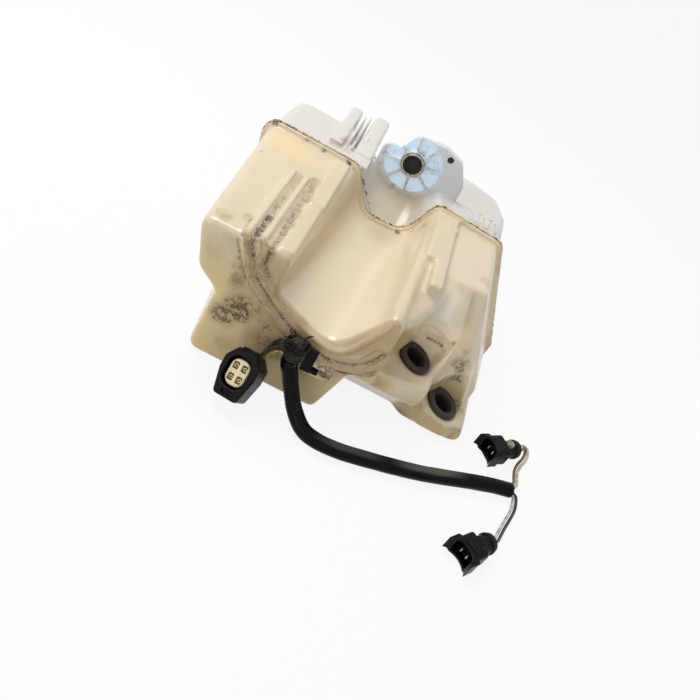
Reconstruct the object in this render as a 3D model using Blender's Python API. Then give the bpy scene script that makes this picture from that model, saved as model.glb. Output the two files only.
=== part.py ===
"""Windscreen washer fluid reservoir with its pump wiring harness.

The tank is moulded in two translucent halves, welded on an upright seam. It
has a trough across its top, a ribbed mounting hub behind the trough, two
rubber pump seats with their strainers, and a short harness that lies in front
of it. Metres, +Z up, the origin on the floor under the middle of the tank.
"""
import math

import bmesh
import bpy
import numpy as np
from mathutils import Matrix, Vector

MM = 0.001

# Tank wall and seam
WALL = 2.4 * MM
SEAM_Y = 19.0 * MM
SEAM_GAP = 0.3 * MM
FLANGE_REACH = 3.4 * MM
FLANGE_THICK = 3.0 * MM
FRONT_FILLET = 5.0 * MM
FILLET_STEPS = 2
CLEARANCE = 0.3 * MM

# Tank outline, seen from the front
FRONT_Y = -131.0 * MM
BACK_Y = 137.5 * MM
TONGUE_END = 131.7 * MM
TOP_FRONT = 98.5 * MM
TOP_SEAM = 104.0 * MM
LEFT_FRONT = -111.0 * MM
LEFT_SEAM = -118.5 * MM
RIGHT_SEAM = 117.4 * MM
RIGHT_TOP = 78.0 * MM
BELLY_SEAM = 4.5 * MM
LEDGE_Y = -98.0 * MM
PANEL_Y = -55.0 * MM

# Trough across the front half, and the pocket behind it
TROUGH_LEFT = -49.5 * MM
TROUGH_RIGHT = 21.0 * MM
TROUGH_FLOOR = 54.5 * MM
POCKET_FLOOR = 71.5 * MM
SHELF_FLOOR = 89.5 * MM

# Double rib and rim on the front half
RIB_WIDTH = 4.4 * MM
RIB_HEIGHT = 2.4 * MM
RIB_ROOT = 1.2 * MM
RIB_PITCH = 10.0 * MM
RIB_X = -76.0 * MM

# Pump seats
SEAT_TILT = math.radians(16.0)
SEAT_LEAN = math.radians(5.0)
SEAT_POCKET_RADIUS = 14.6 * MM
SEAT_POCKET_HEIGHT = 29.0 * MM
UPPER_SEAT = Vector((51.8, -85.0, 45.0)) * MM
LOWER_SEAT = Vector((87.4, -84.0, 19.9)) * MM
SEAT_HOLE_RADIUS = 10.6 * MM
GROMMET_FLANGE_RADIUS = 13.2 * MM
GROMMET_FLANGE_THICK = 3.0 * MM
GROMMET_LIP_RADIUS = 11.2 * MM
GROMMET_LIP_THICK = 2.2 * MM
GROMMET_BORE_RADIUS = 8.2 * MM
BITE_RADIUS = 12.0 * MM
BITE_AT = Vector((-18.4, 10.1, 0.0)) * MM
STRAINER_RADIUS = GROMMET_BORE_RADIUS - CLEARANCE
STRAINER_DEPTH = 15.0 * MM
STRAINER_WALL = 1.1 * MM

# Mounting hub, its steel sleeve and the ear
HUB_X = -8.4 * MM
HUB_Z = 116.0 * MM
HUB_FACE_Y = 47.0 * MM
PLATE_THICK = 6.0 * MM
WEB_THICK = 2.0 * MM
RIM_RADIUS = 26.0 * MM
RIM_WIDTH = 2.6 * MM
BOSS_RADIUS = 10.6 * MM
BOSS_LENGTH = 12.0 * MM
SLEEVE_RADIUS = 9.1 * MM
SLEEVE_BORE = 7.6 * MM
SLEEVE_PROUD = 0.9 * MM
SPOKES = 8
SPOKE_WIDTH = 1.9 * MM
EAR_HOLE_RADIUS = 2.6 * MM
EAR_HOLE_X = 15.8 * MM
EAR_HOLE_Z = 133.0 * MM

# Filler spigot on the hidden back
REAR_DECK = 76.0 * MM
SPIGOT_X = -3.0 * MM
SPIGOT_Y = 91.0 * MM
SPIGOT_RADIUS = 17.6 * MM
SPIGOT_WALL = 2.4 * MM
SPIGOT_HEIGHT = 19.0 * MM
SPIGOT_ROOT = 6.0 * MM
SPIGOT_BEAD = 1.4 * MM

# Harness: conduit, wires, and the routes that their middle lines follow
LOOM_DIAMETER = 11.0 * MM
WIRE_DIAMETER = 2.2 * MM
WIRE_SPREAD = 2.7 * MM
TAPE_RADIUS = 6.4 * MM
TAPE_LOW = Vector((-24.4, -140.4, 41.0)) * MM
TAPE_HEIGHT = 16.5 * MM
CLIP_RISE = 9.0 * MM
LOOM_ROUTE = [(-24.4, -140.4, 40.3), (-24.2, -140.4, 36.4), (-20.2, -141.4, 29), (-15.6, -143.6, 21.5),
              (-7.6, -149, 11.5), (2, -156.8, 6.9), (12, -160.2, 5.9), (28.3, -159.9, 5.9), (53.2, -154, 5.9),
              (87.3, -143.6, 5.9), (122.7, -129, 5.9), (141.3, -121.8, 5.9), (155.6, -117.6, 5.9)]
FAR_WIRE_ROUTE = [(156.8, -114.1, 7.0), (160.2, -107.5, 4.6), (161.8, -99, 2.0), (162.6, -90, 1.3),
                  (164.6, -83, 2.2), (167.4, -76.6, 4.6), (167.2, -70.4, 7.4), (163.2, -70.6, 9.4)]
NEAR_WIRE_ROUTE = [(158.0, -118.3, 4.4), (160.8, -119.8, 3.6), (161.6, -124.5, 2.0), (160.8, -130.5, 1.4),
                   (158.2, -138.5, 1.4), (154.3, -149.1, 1.4), (150.2, -160.2, 3.4), (147.0, -167.4, 6.6)]
FOUR_WAY_FACE = Vector((-50.2, -160.6, 25.6)) * MM
FOUR_WAY_LENGTH = 18.0 * MM
FOUR_WAY_CAVITY = 9.0 * MM
PUMP_PLUG_LENGTH = 14.5 * MM
PUMP_PLUG_WIDTH = 18.5 * MM
PUMP_PLUG_HEIGHT = 15.0 * MM
PUMP_TAIL_LENGTH = 14.0 * MM
PUMP_TAIL_RADIUS = 6.6 * MM
PUMP_MOUTH_DEPTH = 8.6 * MM
PUMP_SEAL_DEPTH = 5.0 * MM
SEAL_PROUD = 0.2 * MM
NEAR_PLUG_AT = (126.9, -189.8, 8.2)
NEAR_PLUG_TURN = math.radians(47.0)
FAR_PLUG_AT = (138.8, -90.0, 9.8)
FAR_PLUG_TURN = math.radians(35.0)

COLOURS = {
    "front_plastic": ((0.72, 0.62, 0.45), 0.38, 0.0),
    "rear_plastic": ((0.76, 0.72, 0.67), 0.38, 0.0),
    "grommet_rubber": ((0.055, 0.048, 0.042), 0.62, 0.0),
    "strainer_plastic": ((0.03, 0.03, 0.03), 0.45, 0.0),
    "sleeve_steel": ((0.55, 0.53, 0.50), 0.32, 1.0),
    "black_plastic": ((0.02, 0.02, 0.022), 0.42, 0.0),
    "loom_vinyl": ((0.018, 0.018, 0.018), 0.35, 0.0),
    "cream_plastic": ((0.80, 0.70, 0.48), 0.5, 0.0),
    "terminal_brass": ((0.62, 0.50, 0.28), 0.35, 1.0),
    "tape_black": ((0.03, 0.028, 0.025), 0.6, 0.0),
    "wire_white": ((0.62, 0.58, 0.50), 0.5, 0.0),
    "wire_black": ((0.02, 0.02, 0.02), 0.5, 0.0),
    "wire_brown": ((0.20, 0.11, 0.05), 0.5, 0.0),
    "wire_yellow": ((0.60, 0.42, 0.05), 0.5, 0.0),
}


def clear_scene():
    for item in list(bpy.data.objects):
        bpy.data.objects.remove(item, do_unlink=True)


def finish(item, colour):
    """Gives an object its Principled material and smooth shading."""
    rgb, roughness, metallic = COLOURS[colour]
    material = bpy.data.materials.new(item.name)
    material.use_nodes = True
    shader = material.node_tree.nodes["Principled BSDF"]
    shader.inputs["Base Color"].default_value = (*rgb, 1.0)
    shader.inputs["Roughness"].default_value = roughness
    shader.inputs["Metallic"].default_value = metallic
    item.data.materials.append(material)
    return item


def object_from_bmesh(name, mesh_data):
    bmesh.ops.remove_doubles(mesh_data, verts=mesh_data.verts, dist=1e-6)
    bmesh.ops.recalc_face_normals(mesh_data, faces=mesh_data.faces)
    mesh = bpy.data.meshes.new(name)
    mesh_data.to_mesh(mesh)
    mesh_data.free()
    mesh.shade_smooth()
    mesh.set_sharp_from_angle(angle=math.radians(35.0))
    item = bpy.data.objects.new(name, mesh)
    bpy.context.scene.collection.objects.link(item)
    return item


def as_cutter(item):
    item.hide_render = True
    item.display_type = "WIRE"
    return item


def combine(target, tool, operation, solver="EXACT"):
    """Adds a Boolean of a guide object to the target."""
    modifier = target.modifiers.new(tool.name, "BOOLEAN")
    modifier.operation = operation
    modifier.solver = solver
    modifier.object = as_cutter(tool)
    return target


def mould(target, tool, operation):
    """A Boolean on the tank's shells and the pump plugs.

    Their blocks meet in walls that almost share a plane, which the exact
    solver leaves open, so the manifold solver is the one that is used there.
    """
    return combine(target, tool, operation, "MANIFOLD")


def rounded_outline(corners, steps):
    """Points of a closed outline whose corners are arcs of the given radii."""
    points = []
    count = len(corners)
    for index, (x, z, radius) in enumerate(corners):
        corner = Vector((x, z))
        before = Vector(corners[index - 1][:2]) - corner
        after = Vector(corners[(index + 1) % count][:2]) - corner
        to_before, to_after = before.normalized(), after.normalized()
        half = to_before.angle(to_after) / 2.0
        reach = radius / math.tan(half)
        limit = 0.48 * min(before.length, after.length)
        reach = min(reach, limit)
        radius = reach * math.tan(half)
        centre = corner + (to_before + to_after).normalized() * radius / math.sin(half)
        start = corner + to_before * reach - centre
        end = corner + to_after * reach - centre
        sweep = start.angle_signed(end)
        for step in range(steps[index] + 1):
            turned = start.copy()
            turned.rotate(Matrix.Rotation(-sweep * step / steps[index], 2))
            points.append(centre + turned)
    return points


def arc_steps(sections, coarse=False):
    """Steps for each corner, from the largest radius that it takes."""
    steps = []
    for corner in range(len(sections[0][1])):
        radius = max(outline[corner][2] for _, outline in sections)
        fine = 2 if radius < 7 * MM else 3 if radius < 13 * MM else 6
        steps.append(max(1, fine // 2) if coarse else fine)
    return steps


def inset_corners(corners, distance):
    """Moves an outline's sides inwards, with each rounding kept parallel."""
    count = len(corners)
    area = sum(corners[i - 1][0] * corners[i][1] - corners[i][0] * corners[i - 1][1] for i in range(count))
    turn = 1.0 if area > 0 else -1.0
    moved = []
    for index, (x, z, radius) in enumerate(corners):
        corner = Vector((x, z))
        one = (corner - Vector(corners[index - 1][:2])).normalized()
        two = (Vector(corners[(index + 1) % count][:2]) - corner).normalized()
        bisector = Vector((-(one.y + two.y), one.x + two.x)).normalized() * turn
        reach = distance / max(0.2, bisector.dot(Vector((-two.y, two.x)) * turn))
        convex = (one.x * two.y - one.y * two.x) * turn > 0
        rounding = radius - distance if convex else radius + distance
        spot = corner + bisector * reach
        moved.append((spot.x, spot.y, max(rounding, 0.4 * MM)))
    return moved


def skin_rings(name, rings):
    """One closed body from rings of equal point count, capped at both ends."""
    data = bmesh.new()
    rows = [[data.verts.new(point) for point in ring] for ring in rings]
    count = len(rows[0])
    for lower, upper in zip(rows, rows[1:]):
        for index in range(count):
            after = (index + 1) % count
            data.faces.new((lower[index], lower[after], upper[after], upper[index]))
    data.faces.new(rows[0])
    data.faces.new(list(reversed(rows[-1])))
    return object_from_bmesh(name, data)


def blend_sections(first, second, share):
    return [tuple(a + (b - a) * share for a, b in zip(one, two))
            for one, two in zip(first, second)]


def moulded_block(name, sections, inset=0.0, fillet=FRONT_FILLET, spans=None, shift=1.0):
    """A drafted moulding block, lofted along Y from its closed end to the seam.

    Sections are (y, corners) from the closed end towards the seam. With an
    inset it is the hollow inside the block: smaller all round by the wall, and
    run out past the seam so that it opens the shell. Its sections also shift
    towards the seam by the wall, apart from a block that widens away from it.
    """
    inward = 1.0 if sections[-1][0] > sections[0][0] else -1.0
    steps = arc_steps(sections, coarse=inset > 0)
    fillet_steps = 1 if inset > 0 else FILLET_STEPS
    rings = []
    first_y, first_corners = sections[0]
    round_over = max(fillet - inset, 1.2 * MM)
    for step in range(fillet_steps):
        angle = math.pi / 2 * step / fillet_steps
        ring_inset = inset + round_over * (1 - math.sin(angle))
        y = first_y + inward * (inset + round_over * (1 - math.cos(angle)))
        ring = rounded_outline(inset_corners(first_corners, ring_inset), steps)
        rings.append([Vector((p.x, y, p.y)) for p in ring])
    spans = spans or [1] * (len(sections) - 1)
    if inset:
        spans = [max(1, span // 2) for span in spans]
    for index, ((y0, one), (y1, two)) in enumerate(zip(sections, sections[1:])):
        start = 0 if index == 0 else 1
        for part in range(start, spans[index] + 1):
            share = part / spans[index]
            y = y0 + (y1 - y0) * share
            if index == 0 and part == 0:
                y = y0 + inward * round_over
            outline = rounded_outline(inset_corners(blend_sections(one, two, share), inset), steps)
            rings.append([Vector((p.x, y + inward * inset * shift, p.y)) for p in outline])
    if inset:
        rings.append([Vector((p.x, sections[-1][0] + inward * 2 * inset, p.z)) for p in rings[-1]])
    return skin_rings(name, rings)


def mm(*values):
    """A corner or a point given in millimetres."""
    return tuple(value * MM for value in values)


def trough_at_front():
    return [(TROUGH_LEFT, TOP_FRONT, 5 * MM), (TROUGH_LEFT - 2 * MM, TROUGH_FLOOR + 19 * MM, 9 * MM),
            (TROUGH_LEFT + 43.5 * MM, TROUGH_FLOOR, 16 * MM), (TROUGH_RIGHT, TOP_FRONT, 8 * MM)]


def pocket_at_seam():
    return [(TROUGH_LEFT + 3.5 * MM, TOP_SEAM + 0.5 * MM, 8 * MM),
            (TROUGH_LEFT + 22.1 * MM, POCKET_FLOOR, 20 * MM),
            (TROUGH_RIGHT - 10 * MM, POCKET_FLOOR + 1.3 * MM, 20 * MM),
            (TROUGH_RIGHT + 3 * MM, TOP_SEAM + 2.5 * MM, 5 * MM)]


def pocket_at_plate():
    return [(HUB_X - 28.6 * MM, TOP_SEAM + 0.5 * MM, 4 * MM),
            (HUB_X - 15.6 * MM, SHELF_FLOOR, 14 * MM),
            (HUB_X + 15.6 * MM, SHELF_FLOOR, 14 * MM),
            (HUB_X + 28.6 * MM, TOP_SEAM + 2 * MM, 4 * MM)]


def seam_outline():
    """The whole tank's outline at the weld, from the top left corner."""
    return [(LEFT_SEAM, TOP_SEAM, 8 * MM), *pocket_at_seam(),
            (RIGHT_TOP, TOP_SEAM - 0.5 * MM, 6 * MM), (RIGHT_SEAM, 21 * MM, 6 * MM),
            (RIGHT_SEAM - 0.5 * MM, BELLY_SEAM, 5 * MM),
            (LEFT_SEAM + 10.5 * MM, BELLY_SEAM, 6 * MM), (LEFT_SEAM + 4.5 * MM, 66 * MM, 8 * MM)]


def half_seam(side):
    """Where a half ends at the weld: -1 for the front half, 1 for the rear."""
    return SEAM_Y + side * SEAM_GAP / 2


def trough_sections():
    """Main block with the trough, down to the wing and the foot."""
    front = [(LEFT_FRONT, TOP_FRONT, 7 * MM), *trough_at_front(),
             (TROUGH_RIGHT + 8 * MM, TOP_FRONT - 9 * MM, 8 * MM), mm(30, 46, 8), mm(14, 40, 5),
             mm(4, 0, 4), mm(-91, 0, 6), mm(-86, 51, 6), mm(-102, 63, 8)]
    seam = [(LEFT_SEAM, TOP_SEAM, 8 * MM), *pocket_at_seam(),
            (TROUGH_RIGHT + 13 * MM, TOP_SEAM + 1 * MM, 4 * MM), mm(36, 60, 8), mm(30, 30, 5),
            (30 * MM, BELLY_SEAM, 4 * MM), (LEFT_SEAM + 10.5 * MM, BELLY_SEAM, 6 * MM),
            (LEFT_SEAM + 10.5 * MM, 50 * MM, 6 * MM), (LEFT_SEAM + 4.5 * MM, 66 * MM, 8 * MM)]
    return [(FRONT_Y, front), (half_seam(-1), seam)]


def shoulder_sections():
    """Block beside the trough's mouth, whose front side slants back to the haunch."""
    return [(FRONT_Y + 7 * MM, [mm(23, 93, 4), mm(30, 90, 5), mm(28, 50, 6), mm(10, 40, 4)]),
            (FRONT_Y + 28 * MM, [mm(24, 95, 4), mm(41, 88, 8), mm(32, 48, 6), mm(10, 36, 4)]),
            (PANEL_Y, [mm(26, 97.5, 4), mm(58, 97, 5), mm(60, 36, 6), mm(12, 36, 4)]),
            (half_seam(-1), [(32 * MM, TOP_SEAM - 1 * MM, 4 * MM), (58 * MM, TOP_SEAM - 0.8 * MM, 5 * MM),
                             mm(60, 36, 6), mm(32, 36, 4)])]


def haunch_sections():
    """Block right of the trough, sloped back above the upper pump seat."""
    return [(LEDGE_Y + 13 * MM, [mm(24, 86, 4), mm(57, 84, 6), mm(72, 71, 4), mm(74, 36, 5), mm(24, 36, 5)]),
            (PANEL_Y, [mm(24, 99.5, 4), mm(60, 99.5, 3), mm(67, 98.5, 4), mm(78, 36, 5), mm(24, 36, 5)]),
            (half_seam(-1), [(24 * MM, TOP_SEAM, 4 * MM), (60 * MM, TOP_SEAM, 3 * MM),
                             (70 * MM, TOP_SEAM - 0.5 * MM, 4 * MM), mm(82, 36, 5), mm(24, 36, 5)])]


def flank_sections():
    """Block on the right with its slanted side and sloped front panel."""
    return [(LEDGE_Y + 24 * MM, [mm(62, 44, 4), mm(88, 47, 5), mm(103, 14, 5), mm(103, 3, 4), mm(62, 3, 4)]),
            (PANEL_Y + 3 * MM, [mm(62, 99, 3), mm(77, 99, 5), mm(112, 22, 6), mm(112, 1, 4), mm(62, 1, 4)]),
            (half_seam(-1), [(62 * MM, TOP_SEAM - 0.5 * MM, 3 * MM), (RIGHT_TOP, TOP_SEAM - 0.5 * MM, 6 * MM),
                             (RIGHT_SEAM, 21 * MM, 6 * MM), (RIGHT_SEAM - 0.5 * MM, BELLY_SEAM, 5 * MM),
                             (62 * MM, BELLY_SEAM, 5 * MM)])]


def upper_ledge_sections():
    """Block that carries the upper pump seat, undercut towards the floor."""
    return [(-127 * MM, [mm(13, 50, 3), mm(30, 50, 4), mm(31, 38, 3), mm(13, 36, 3)]),
            (-106 * MM, [mm(12, 49, 3), mm(70, 42, 6), mm(69, 23, 6), mm(14, 24, 5)]),
            (-84 * MM, [mm(8, 52, 3), mm(73, 43, 6), mm(73, 0, 4), mm(8, 0, 4)]),
            (half_seam(-1),
             [mm(8, 52, 3), mm(76, 46, 6), (76 * MM, BELLY_SEAM, 5 * MM), (8 * MM, BELLY_SEAM, 5 * MM)])]


def lower_ledge_sections():
    """Block that carries the lower pump seat."""
    return [(LEDGE_Y - 1.5 * MM, [mm(72, 23, 4), mm(101, 16, 5), mm(103, 3, 5), mm(74, 3, 5)]),
            (LEDGE_Y + 6 * MM, [mm(63, 26, 4), mm(109, 15, 5), mm(114, 0, 5), mm(60, 0, 5)]),
            (LEDGE_Y + 18 * MM, [mm(54, 28, 4), mm(110, 16, 5), mm(115, 0, 5), mm(46, 0, 5)]),
            (half_seam(-1), [mm(54, 30, 4), mm(114, 19, 6), (116 * MM, BELLY_SEAM, 5 * MM),
                             (46 * MM, BELLY_SEAM, 5 * MM)])]


def lower_bay_sections():
    """Wall that rises behind the lower pump seat."""
    return [(LEDGE_Y + 13 * MM, [mm(74, 40, 4), mm(96, 46, 4), mm(103, 20, 5), mm(103, 8, 4), mm(74, 8, 4)]),
            (half_seam(-1), [mm(70, 60, 4), mm(100, 58, 4), mm(114, 22, 6), mm(114, 8, 4), mm(70, 8, 4)])]


def front_blocks():
    """Name, sections and loft spans of each block beside the trough."""
    return [("shoulder", shoulder_sections(), [1, 2, 1]), ("haunch", haunch_sections(), [2, 1]),
            ("flank", flank_sections(), [2, 1]), ("upper_ledge", upper_ledge_sections(), [2, 1, 1]),
            ("lower_ledge", lower_ledge_sections(), [1, 1, 1]), ("lower_bay", lower_bay_sections(), [1])]


def seat_axes(seat):
    """A frame at a pump seat, with its Z along the pump's tilted axis."""
    axis = Vector((math.sin(SEAT_TILT), -math.sin(SEAT_LEAN), math.cos(SEAT_TILT))).normalized()
    side = Vector((0, 1, 0)).cross(axis).normalized()
    frame = Matrix((side, axis.cross(side), axis)).transposed().to_4x4()
    return Matrix.Translation(seat) @ frame


def turned(name, profile, frame, steps=32):
    """Turns a closed (radius, height) profile about the frame's Z axis."""
    data = bmesh.new()
    on_axis = profile[0][0] == 0.0
    rings = []
    for radius, height in profile:
        if radius == 0.0:
            rings.append([data.verts.new(frame @ Vector((0, 0, height)))])
            continue
        angles = [2 * math.pi * step / steps for step in range(steps)]
        rings.append([data.verts.new(frame @ Vector((radius * math.cos(a), radius * math.sin(a), height)))
                      for a in angles])
    pairs = list(zip(rings, rings[1:]))
    if not on_axis:
        pairs.append((rings[-1], rings[0]))
    for one, two in pairs:
        for step in range(steps):
            after = (step + 1) % steps
            if len(one) == 1 and len(two) == 1:
                continue
            if len(one) == 1:
                data.faces.new((one[0], two[step], two[after]))
            elif len(two) == 1:
                data.faces.new((one[step], one[after], two[0]))
            else:
                data.faces.new((one[step], one[after], two[after], two[step]))
    return object_from_bmesh(name, data)


def cylinder(name, radius, low, high, frame, steps=32):
    return turned(name, [(0.0, low), (radius, low), (radius, high), (0.0, high)], frame, steps)


def plate(name, points, low, high, frame=Matrix.Identity(4)):
    """Extrudes an outline in the frame's XY plane between two heights."""
    rings = [[frame @ Vector((x, y, z)) for x, y in points] for z in (low, high)]
    return skin_rings(name, rings)


def upright(y):
    """A frame whose XY plane is the X-Z plane at the given Y, looking back."""
    return Matrix.Translation((0, y, 0)) @ Matrix.Rotation(math.pi / 2, 4, "X")


def swept(name, path, normals, width, height, depth, fade=0):
    """Carries a rectangle along a path, standing on a surface with normals.

    Over a few places at each end, as many as fade, it sinks into the surface.
    """
    path = np.array(path)
    normals = np.array(normals)
    tangents = np.gradient(path, axis=0)
    tangents /= np.linalg.norm(tangents, axis=1)[:, None]
    sides = np.cross(tangents, normals)
    sides /= np.linalg.norm(sides, axis=1)[:, None]
    rings = []
    last = len(path) - 1
    for index, (point, normal, side) in enumerate(zip(path, normals, sides)):
        share = min(1.0, (min(index, last - index) + 0.3) / fade) if fade else 1.0
        rise = height * share
        edge = min(0.5 * MM, rise / 2)
        half = side * width / 2
        top = side * (width / 2 - edge)
        rings.append([Vector(point - half - normal * depth), Vector(point + half - normal * depth),
                      Vector(point + half + normal * (rise - edge)), Vector(point + top + normal * rise),
                      Vector(point - top + normal * rise), Vector(point - half + normal * (rise - edge))])
    return skin_rings(name, rings)


def smooth_path(points, count):
    """Points read evenly from a Catmull-Rom curve through the given ones."""
    points = np.array(points, dtype=float)
    ends = np.vstack([2 * points[0] - points[1], points, 2 * points[-1] - points[-2]])
    fine = []
    for index in range(1, len(ends) - 2):
        p0, p1, p2, p3 = ends[index - 1:index + 3]
        for t in np.linspace(0, 1, 24, endpoint=False):
            fine.append(0.5 * (2 * p1 + (p2 - p0) * t + (2 * p0 - 5 * p1 + 4 * p2 - p3) * t ** 2
                               + (3 * p1 - p0 - 3 * p2 + p3) * t ** 3))
    fine.append(ends[-2])
    fine = np.array(fine)
    along = np.concatenate([[0], np.cumsum(np.linalg.norm(np.diff(fine, axis=0), axis=1))])
    wanted = np.linspace(0, along[-1], count)
    return np.stack([np.interp(wanted, along, fine[:, axis]) for axis in range(3)], axis=1)


def top_at(y):
    """Height of the front half's top wall at a place along the draft."""
    share = (y - FRONT_Y) / (half_seam(-1) - FRONT_Y)
    return TOP_FRONT + (TOP_SEAM - TOP_FRONT) * share


def rib_route(offset):
    """A rib's way over the top wall, round the front edge and the trough."""
    x = RIB_X + offset
    path, normals = [], []
    for y in np.linspace(-31 * MM, FRONT_Y + FRONT_FILLET, 12):
        path.append((x, y, top_at(y)))
        normals.append((0, 0, 1))
    for step in range(1, 4):
        angle = math.pi / 2 * step / 4
        path.append((x + offset * 0.2 * step / 4 + 1 * MM * step,
                     FRONT_Y + FRONT_FILLET * (1 - math.sin(angle)),
                     TOP_FRONT - FRONT_FILLET * (1 - math.cos(angle))))
        normals.append((0, -math.sin(angle), math.cos(angle)))
    shrink = offset * 0.72
    around = [(-71, 88), (-66, 78), (-53, 67.5), (-36, 56.5), (-21, 49.5), (-5, 47), (9, 50), (19, 57.5),
              (26.5, 70)]
    curve = smooth_path([(px * MM, 0, pz * MM) for px, pz in around], 22)
    slopes = np.gradient(curve, axis=0)
    for point, slope in zip(curve, slopes):
        inward = np.array([-slope[2], 0, slope[0]]) / np.linalg.norm(slope)
        moved = point + inward * shrink
        path.append((moved[0], FRONT_Y, moved[2]))
        normals.append((0, -1, 0))
    return path, normals


def lip_route():
    """The rim that runs round the trough's mouth on the front face."""
    mouth = [(-52.5, 93), (-53.8, 77), (-51, 70), (-40, 66), (-21, 57), (-5, 54), (5, 59.5), (13, 74),
             (21, 91)]
    curve = smooth_path([(x * MM, FRONT_Y, z * MM) for x, z in mouth], 24)
    return curve, [(0, -1, 0)] * len(curve)


def make_front_shell():
    shell = moulded_block("front_shell", trough_sections(), spans=[4])
    hollow = moulded_block("trough_hollow", trough_sections(), inset=WALL, spans=[4])
    for name, sections, spans in front_blocks():
        mould(shell, moulded_block(name + "_block", sections, spans=spans, fillet=4 * MM), "UNION")
        mould(hollow, moulded_block(name + "_hollow", sections, inset=WALL, spans=spans, fillet=4 * MM),
              "UNION")
    for number, seat in enumerate((UPPER_SEAT, LOWER_SEAT)):
        frame = seat_axes(seat)
        mould(hollow, cylinder(f"seat_wall_{number}", SEAT_POCKET_RADIUS + WALL, -WALL - 0.4 * MM,
                                 SEAT_POCKET_HEIGHT + WALL, frame), "DIFFERENCE")
    add_front_features(shell)
    mould(shell, hollow, "DIFFERENCE")
    for number, seat in enumerate((UPPER_SEAT, LOWER_SEAT)):
        frame = seat_axes(seat)
        pocket = turned(f"seat_pocket_{number}",
                        [(0.0, 0.0), (SEAT_POCKET_RADIUS, 0.0),
                         (SEAT_POCKET_RADIUS, SEAT_POCKET_HEIGHT - 6 * MM),
                         (SEAT_POCKET_RADIUS * 0.82, SEAT_POCKET_HEIGHT - 2 * MM),
                         (0.0, SEAT_POCKET_HEIGHT)], frame)
        mould(shell, pocket, "DIFFERENCE")
        mould(shell, cylinder(f"seat_hole_{number}", SEAT_HOLE_RADIUS, -9 * MM, 1 * MM, frame), "DIFFERENCE")
    return finish(shell, "front_plastic")


def flange_ring(name, side):
    """Half of the weld flange, a ring outside the tank's wall."""
    steps = arc_steps([(0, seam_outline())])
    outer, inner, rim = (rounded_outline(inset_corners(seam_outline(), distance), steps)
                         for distance in (-FLANGE_REACH, WALL / 2, 0.8 * MM - FLANGE_REACH))
    seam = half_seam(side)
    far = seam + side * FLANGE_THICK
    rings = [[Vector((p.x, y, p.y)) for p in ring]
             for ring,
             y in ((inner, seam), (outer, seam), (outer, far - side * 0.8 * MM), (rim, far), (inner, far))]
    data = bmesh.new()
    rows = [[data.verts.new(point) for point in ring] for ring in rings]
    count = len(rows[0])
    for lower, upper in zip(rows, rows[1:] + rows[:1]):
        for index in range(count):
            after = (index + 1) % count
            data.faces.new((lower[index], lower[after], upper[after], upper[index]))
    return object_from_bmesh(name, data)


def add_front_features(shell):
    """Flange, ribs, rim, strip, pads, foot, clip bracket and boss."""
    mould(shell, flange_ring("front_flange", -1), "UNION")
    for number, offset in enumerate((-RIB_PITCH / 2, RIB_PITCH / 2)):
        route, normals = rib_route(offset)
        mould(shell, swept(f"rib_{number}", route, normals, RIB_WIDTH, RIB_HEIGHT, RIB_ROOT, 3), "UNION")
    route, normals = lip_route()
    mould(shell, swept("trough_rim", route, normals, 3.6 * MM, 2.2 * MM, 1.2 * MM, 4), "UNION")
    mould(shell, land("strip", (-61.5, -50.5), (-126, -1), 1.6, -1.2, 4.0), "UNION")
    mould(shell, land("strip_step", (-61.5, -49.5), (-64, 12), 2.6, -1.2, 2.0), "UNION")
    mould(shell, land("pad", (25, 43), (-52, 17), 3.2, -1.2, 2.5), "UNION")
    mould(shell, land("pad_nose", (33, 43), (-84, -50), 3.2, -14.0, 2.0), "UNION")
    boss = Matrix.Translation((39 * MM, -1 * MM, TOP_SEAM - 1 * MM))
    mould(shell, cylinder("boss", 4.4 * MM, -1 * MM, 4.6 * MM, boss, 20), "UNION")
    mould(shell, cylinder("boss_dimple", 2.6 * MM, 2.6 * MM, 7 * MM, boss, 16), "DIFFERENCE")
    bracket = [mm(-16.5, 42), mm(4, 40.5), mm(4, 31.5), mm(-16.5, 31.5)]
    mould(shell, plate("clip_bracket", bracket, -1.2 * MM, 6.5 * MM, upright(FRONT_Y)), "UNION")
    slot = [mm(-15, 39), mm(1, 38), mm(1, 34.5), mm(-15, 34.5)]
    mould(shell, plate("clip_slot", slot, 2.6 * MM, 9 * MM, upright(FRONT_Y)), "DIFFERENCE")


def land(name, xs, ys, height, root, corner):
    """A raised band on the top wall, which follows the wall's slope."""
    x0, x1 = xs[0] * MM, xs[1] * MM
    y0, y1 = ys[0] * MM, ys[1] * MM
    corners = [(x0, y0, corner * MM), (x1, y0, corner * MM), (x1, y1, 0.4 * MM), (x0, y1, 0.4 * MM)]
    outline = rounded_outline(corners, [4, 4, 1, 1])
    shave = rounded_outline(inset_corners(corners, 0.8 * MM), [4, 4, 1, 1])
    levels = [(outline, root * MM), (outline, (height - 0.8) * MM), (shave, height * MM)]
    rings = [[Vector((p.x, p.y, top_at(p.y) + level)) for p in ring] for ring, level in levels]
    return skin_rings(name, rings)


def pocket_sections():
    """Rear half near the weld, its pocket rising from the seam to the hub."""
    plate_y = HUB_FACE_Y + PLATE_THICK
    behind = [(LEFT_SEAM + 1 * MM, TOP_SEAM + 0.5 * MM, 8 * MM), *pocket_at_plate(),
              (RIGHT_TOP - 1 * MM, TOP_SEAM - 0.5 * MM, 6 * MM), (RIGHT_SEAM - 1 * MM, 21 * MM, 6 * MM),
              (RIGHT_SEAM - 1.5 * MM, BELLY_SEAM, 5 * MM), (LEFT_SEAM + 12 * MM, BELLY_SEAM, 6 * MM),
              (LEFT_SEAM + 5.5 * MM, 66 * MM, 8 * MM)]
    return [(plate_y, behind), (HUB_FACE_Y, behind), (half_seam(1), seam_outline())]


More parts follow.
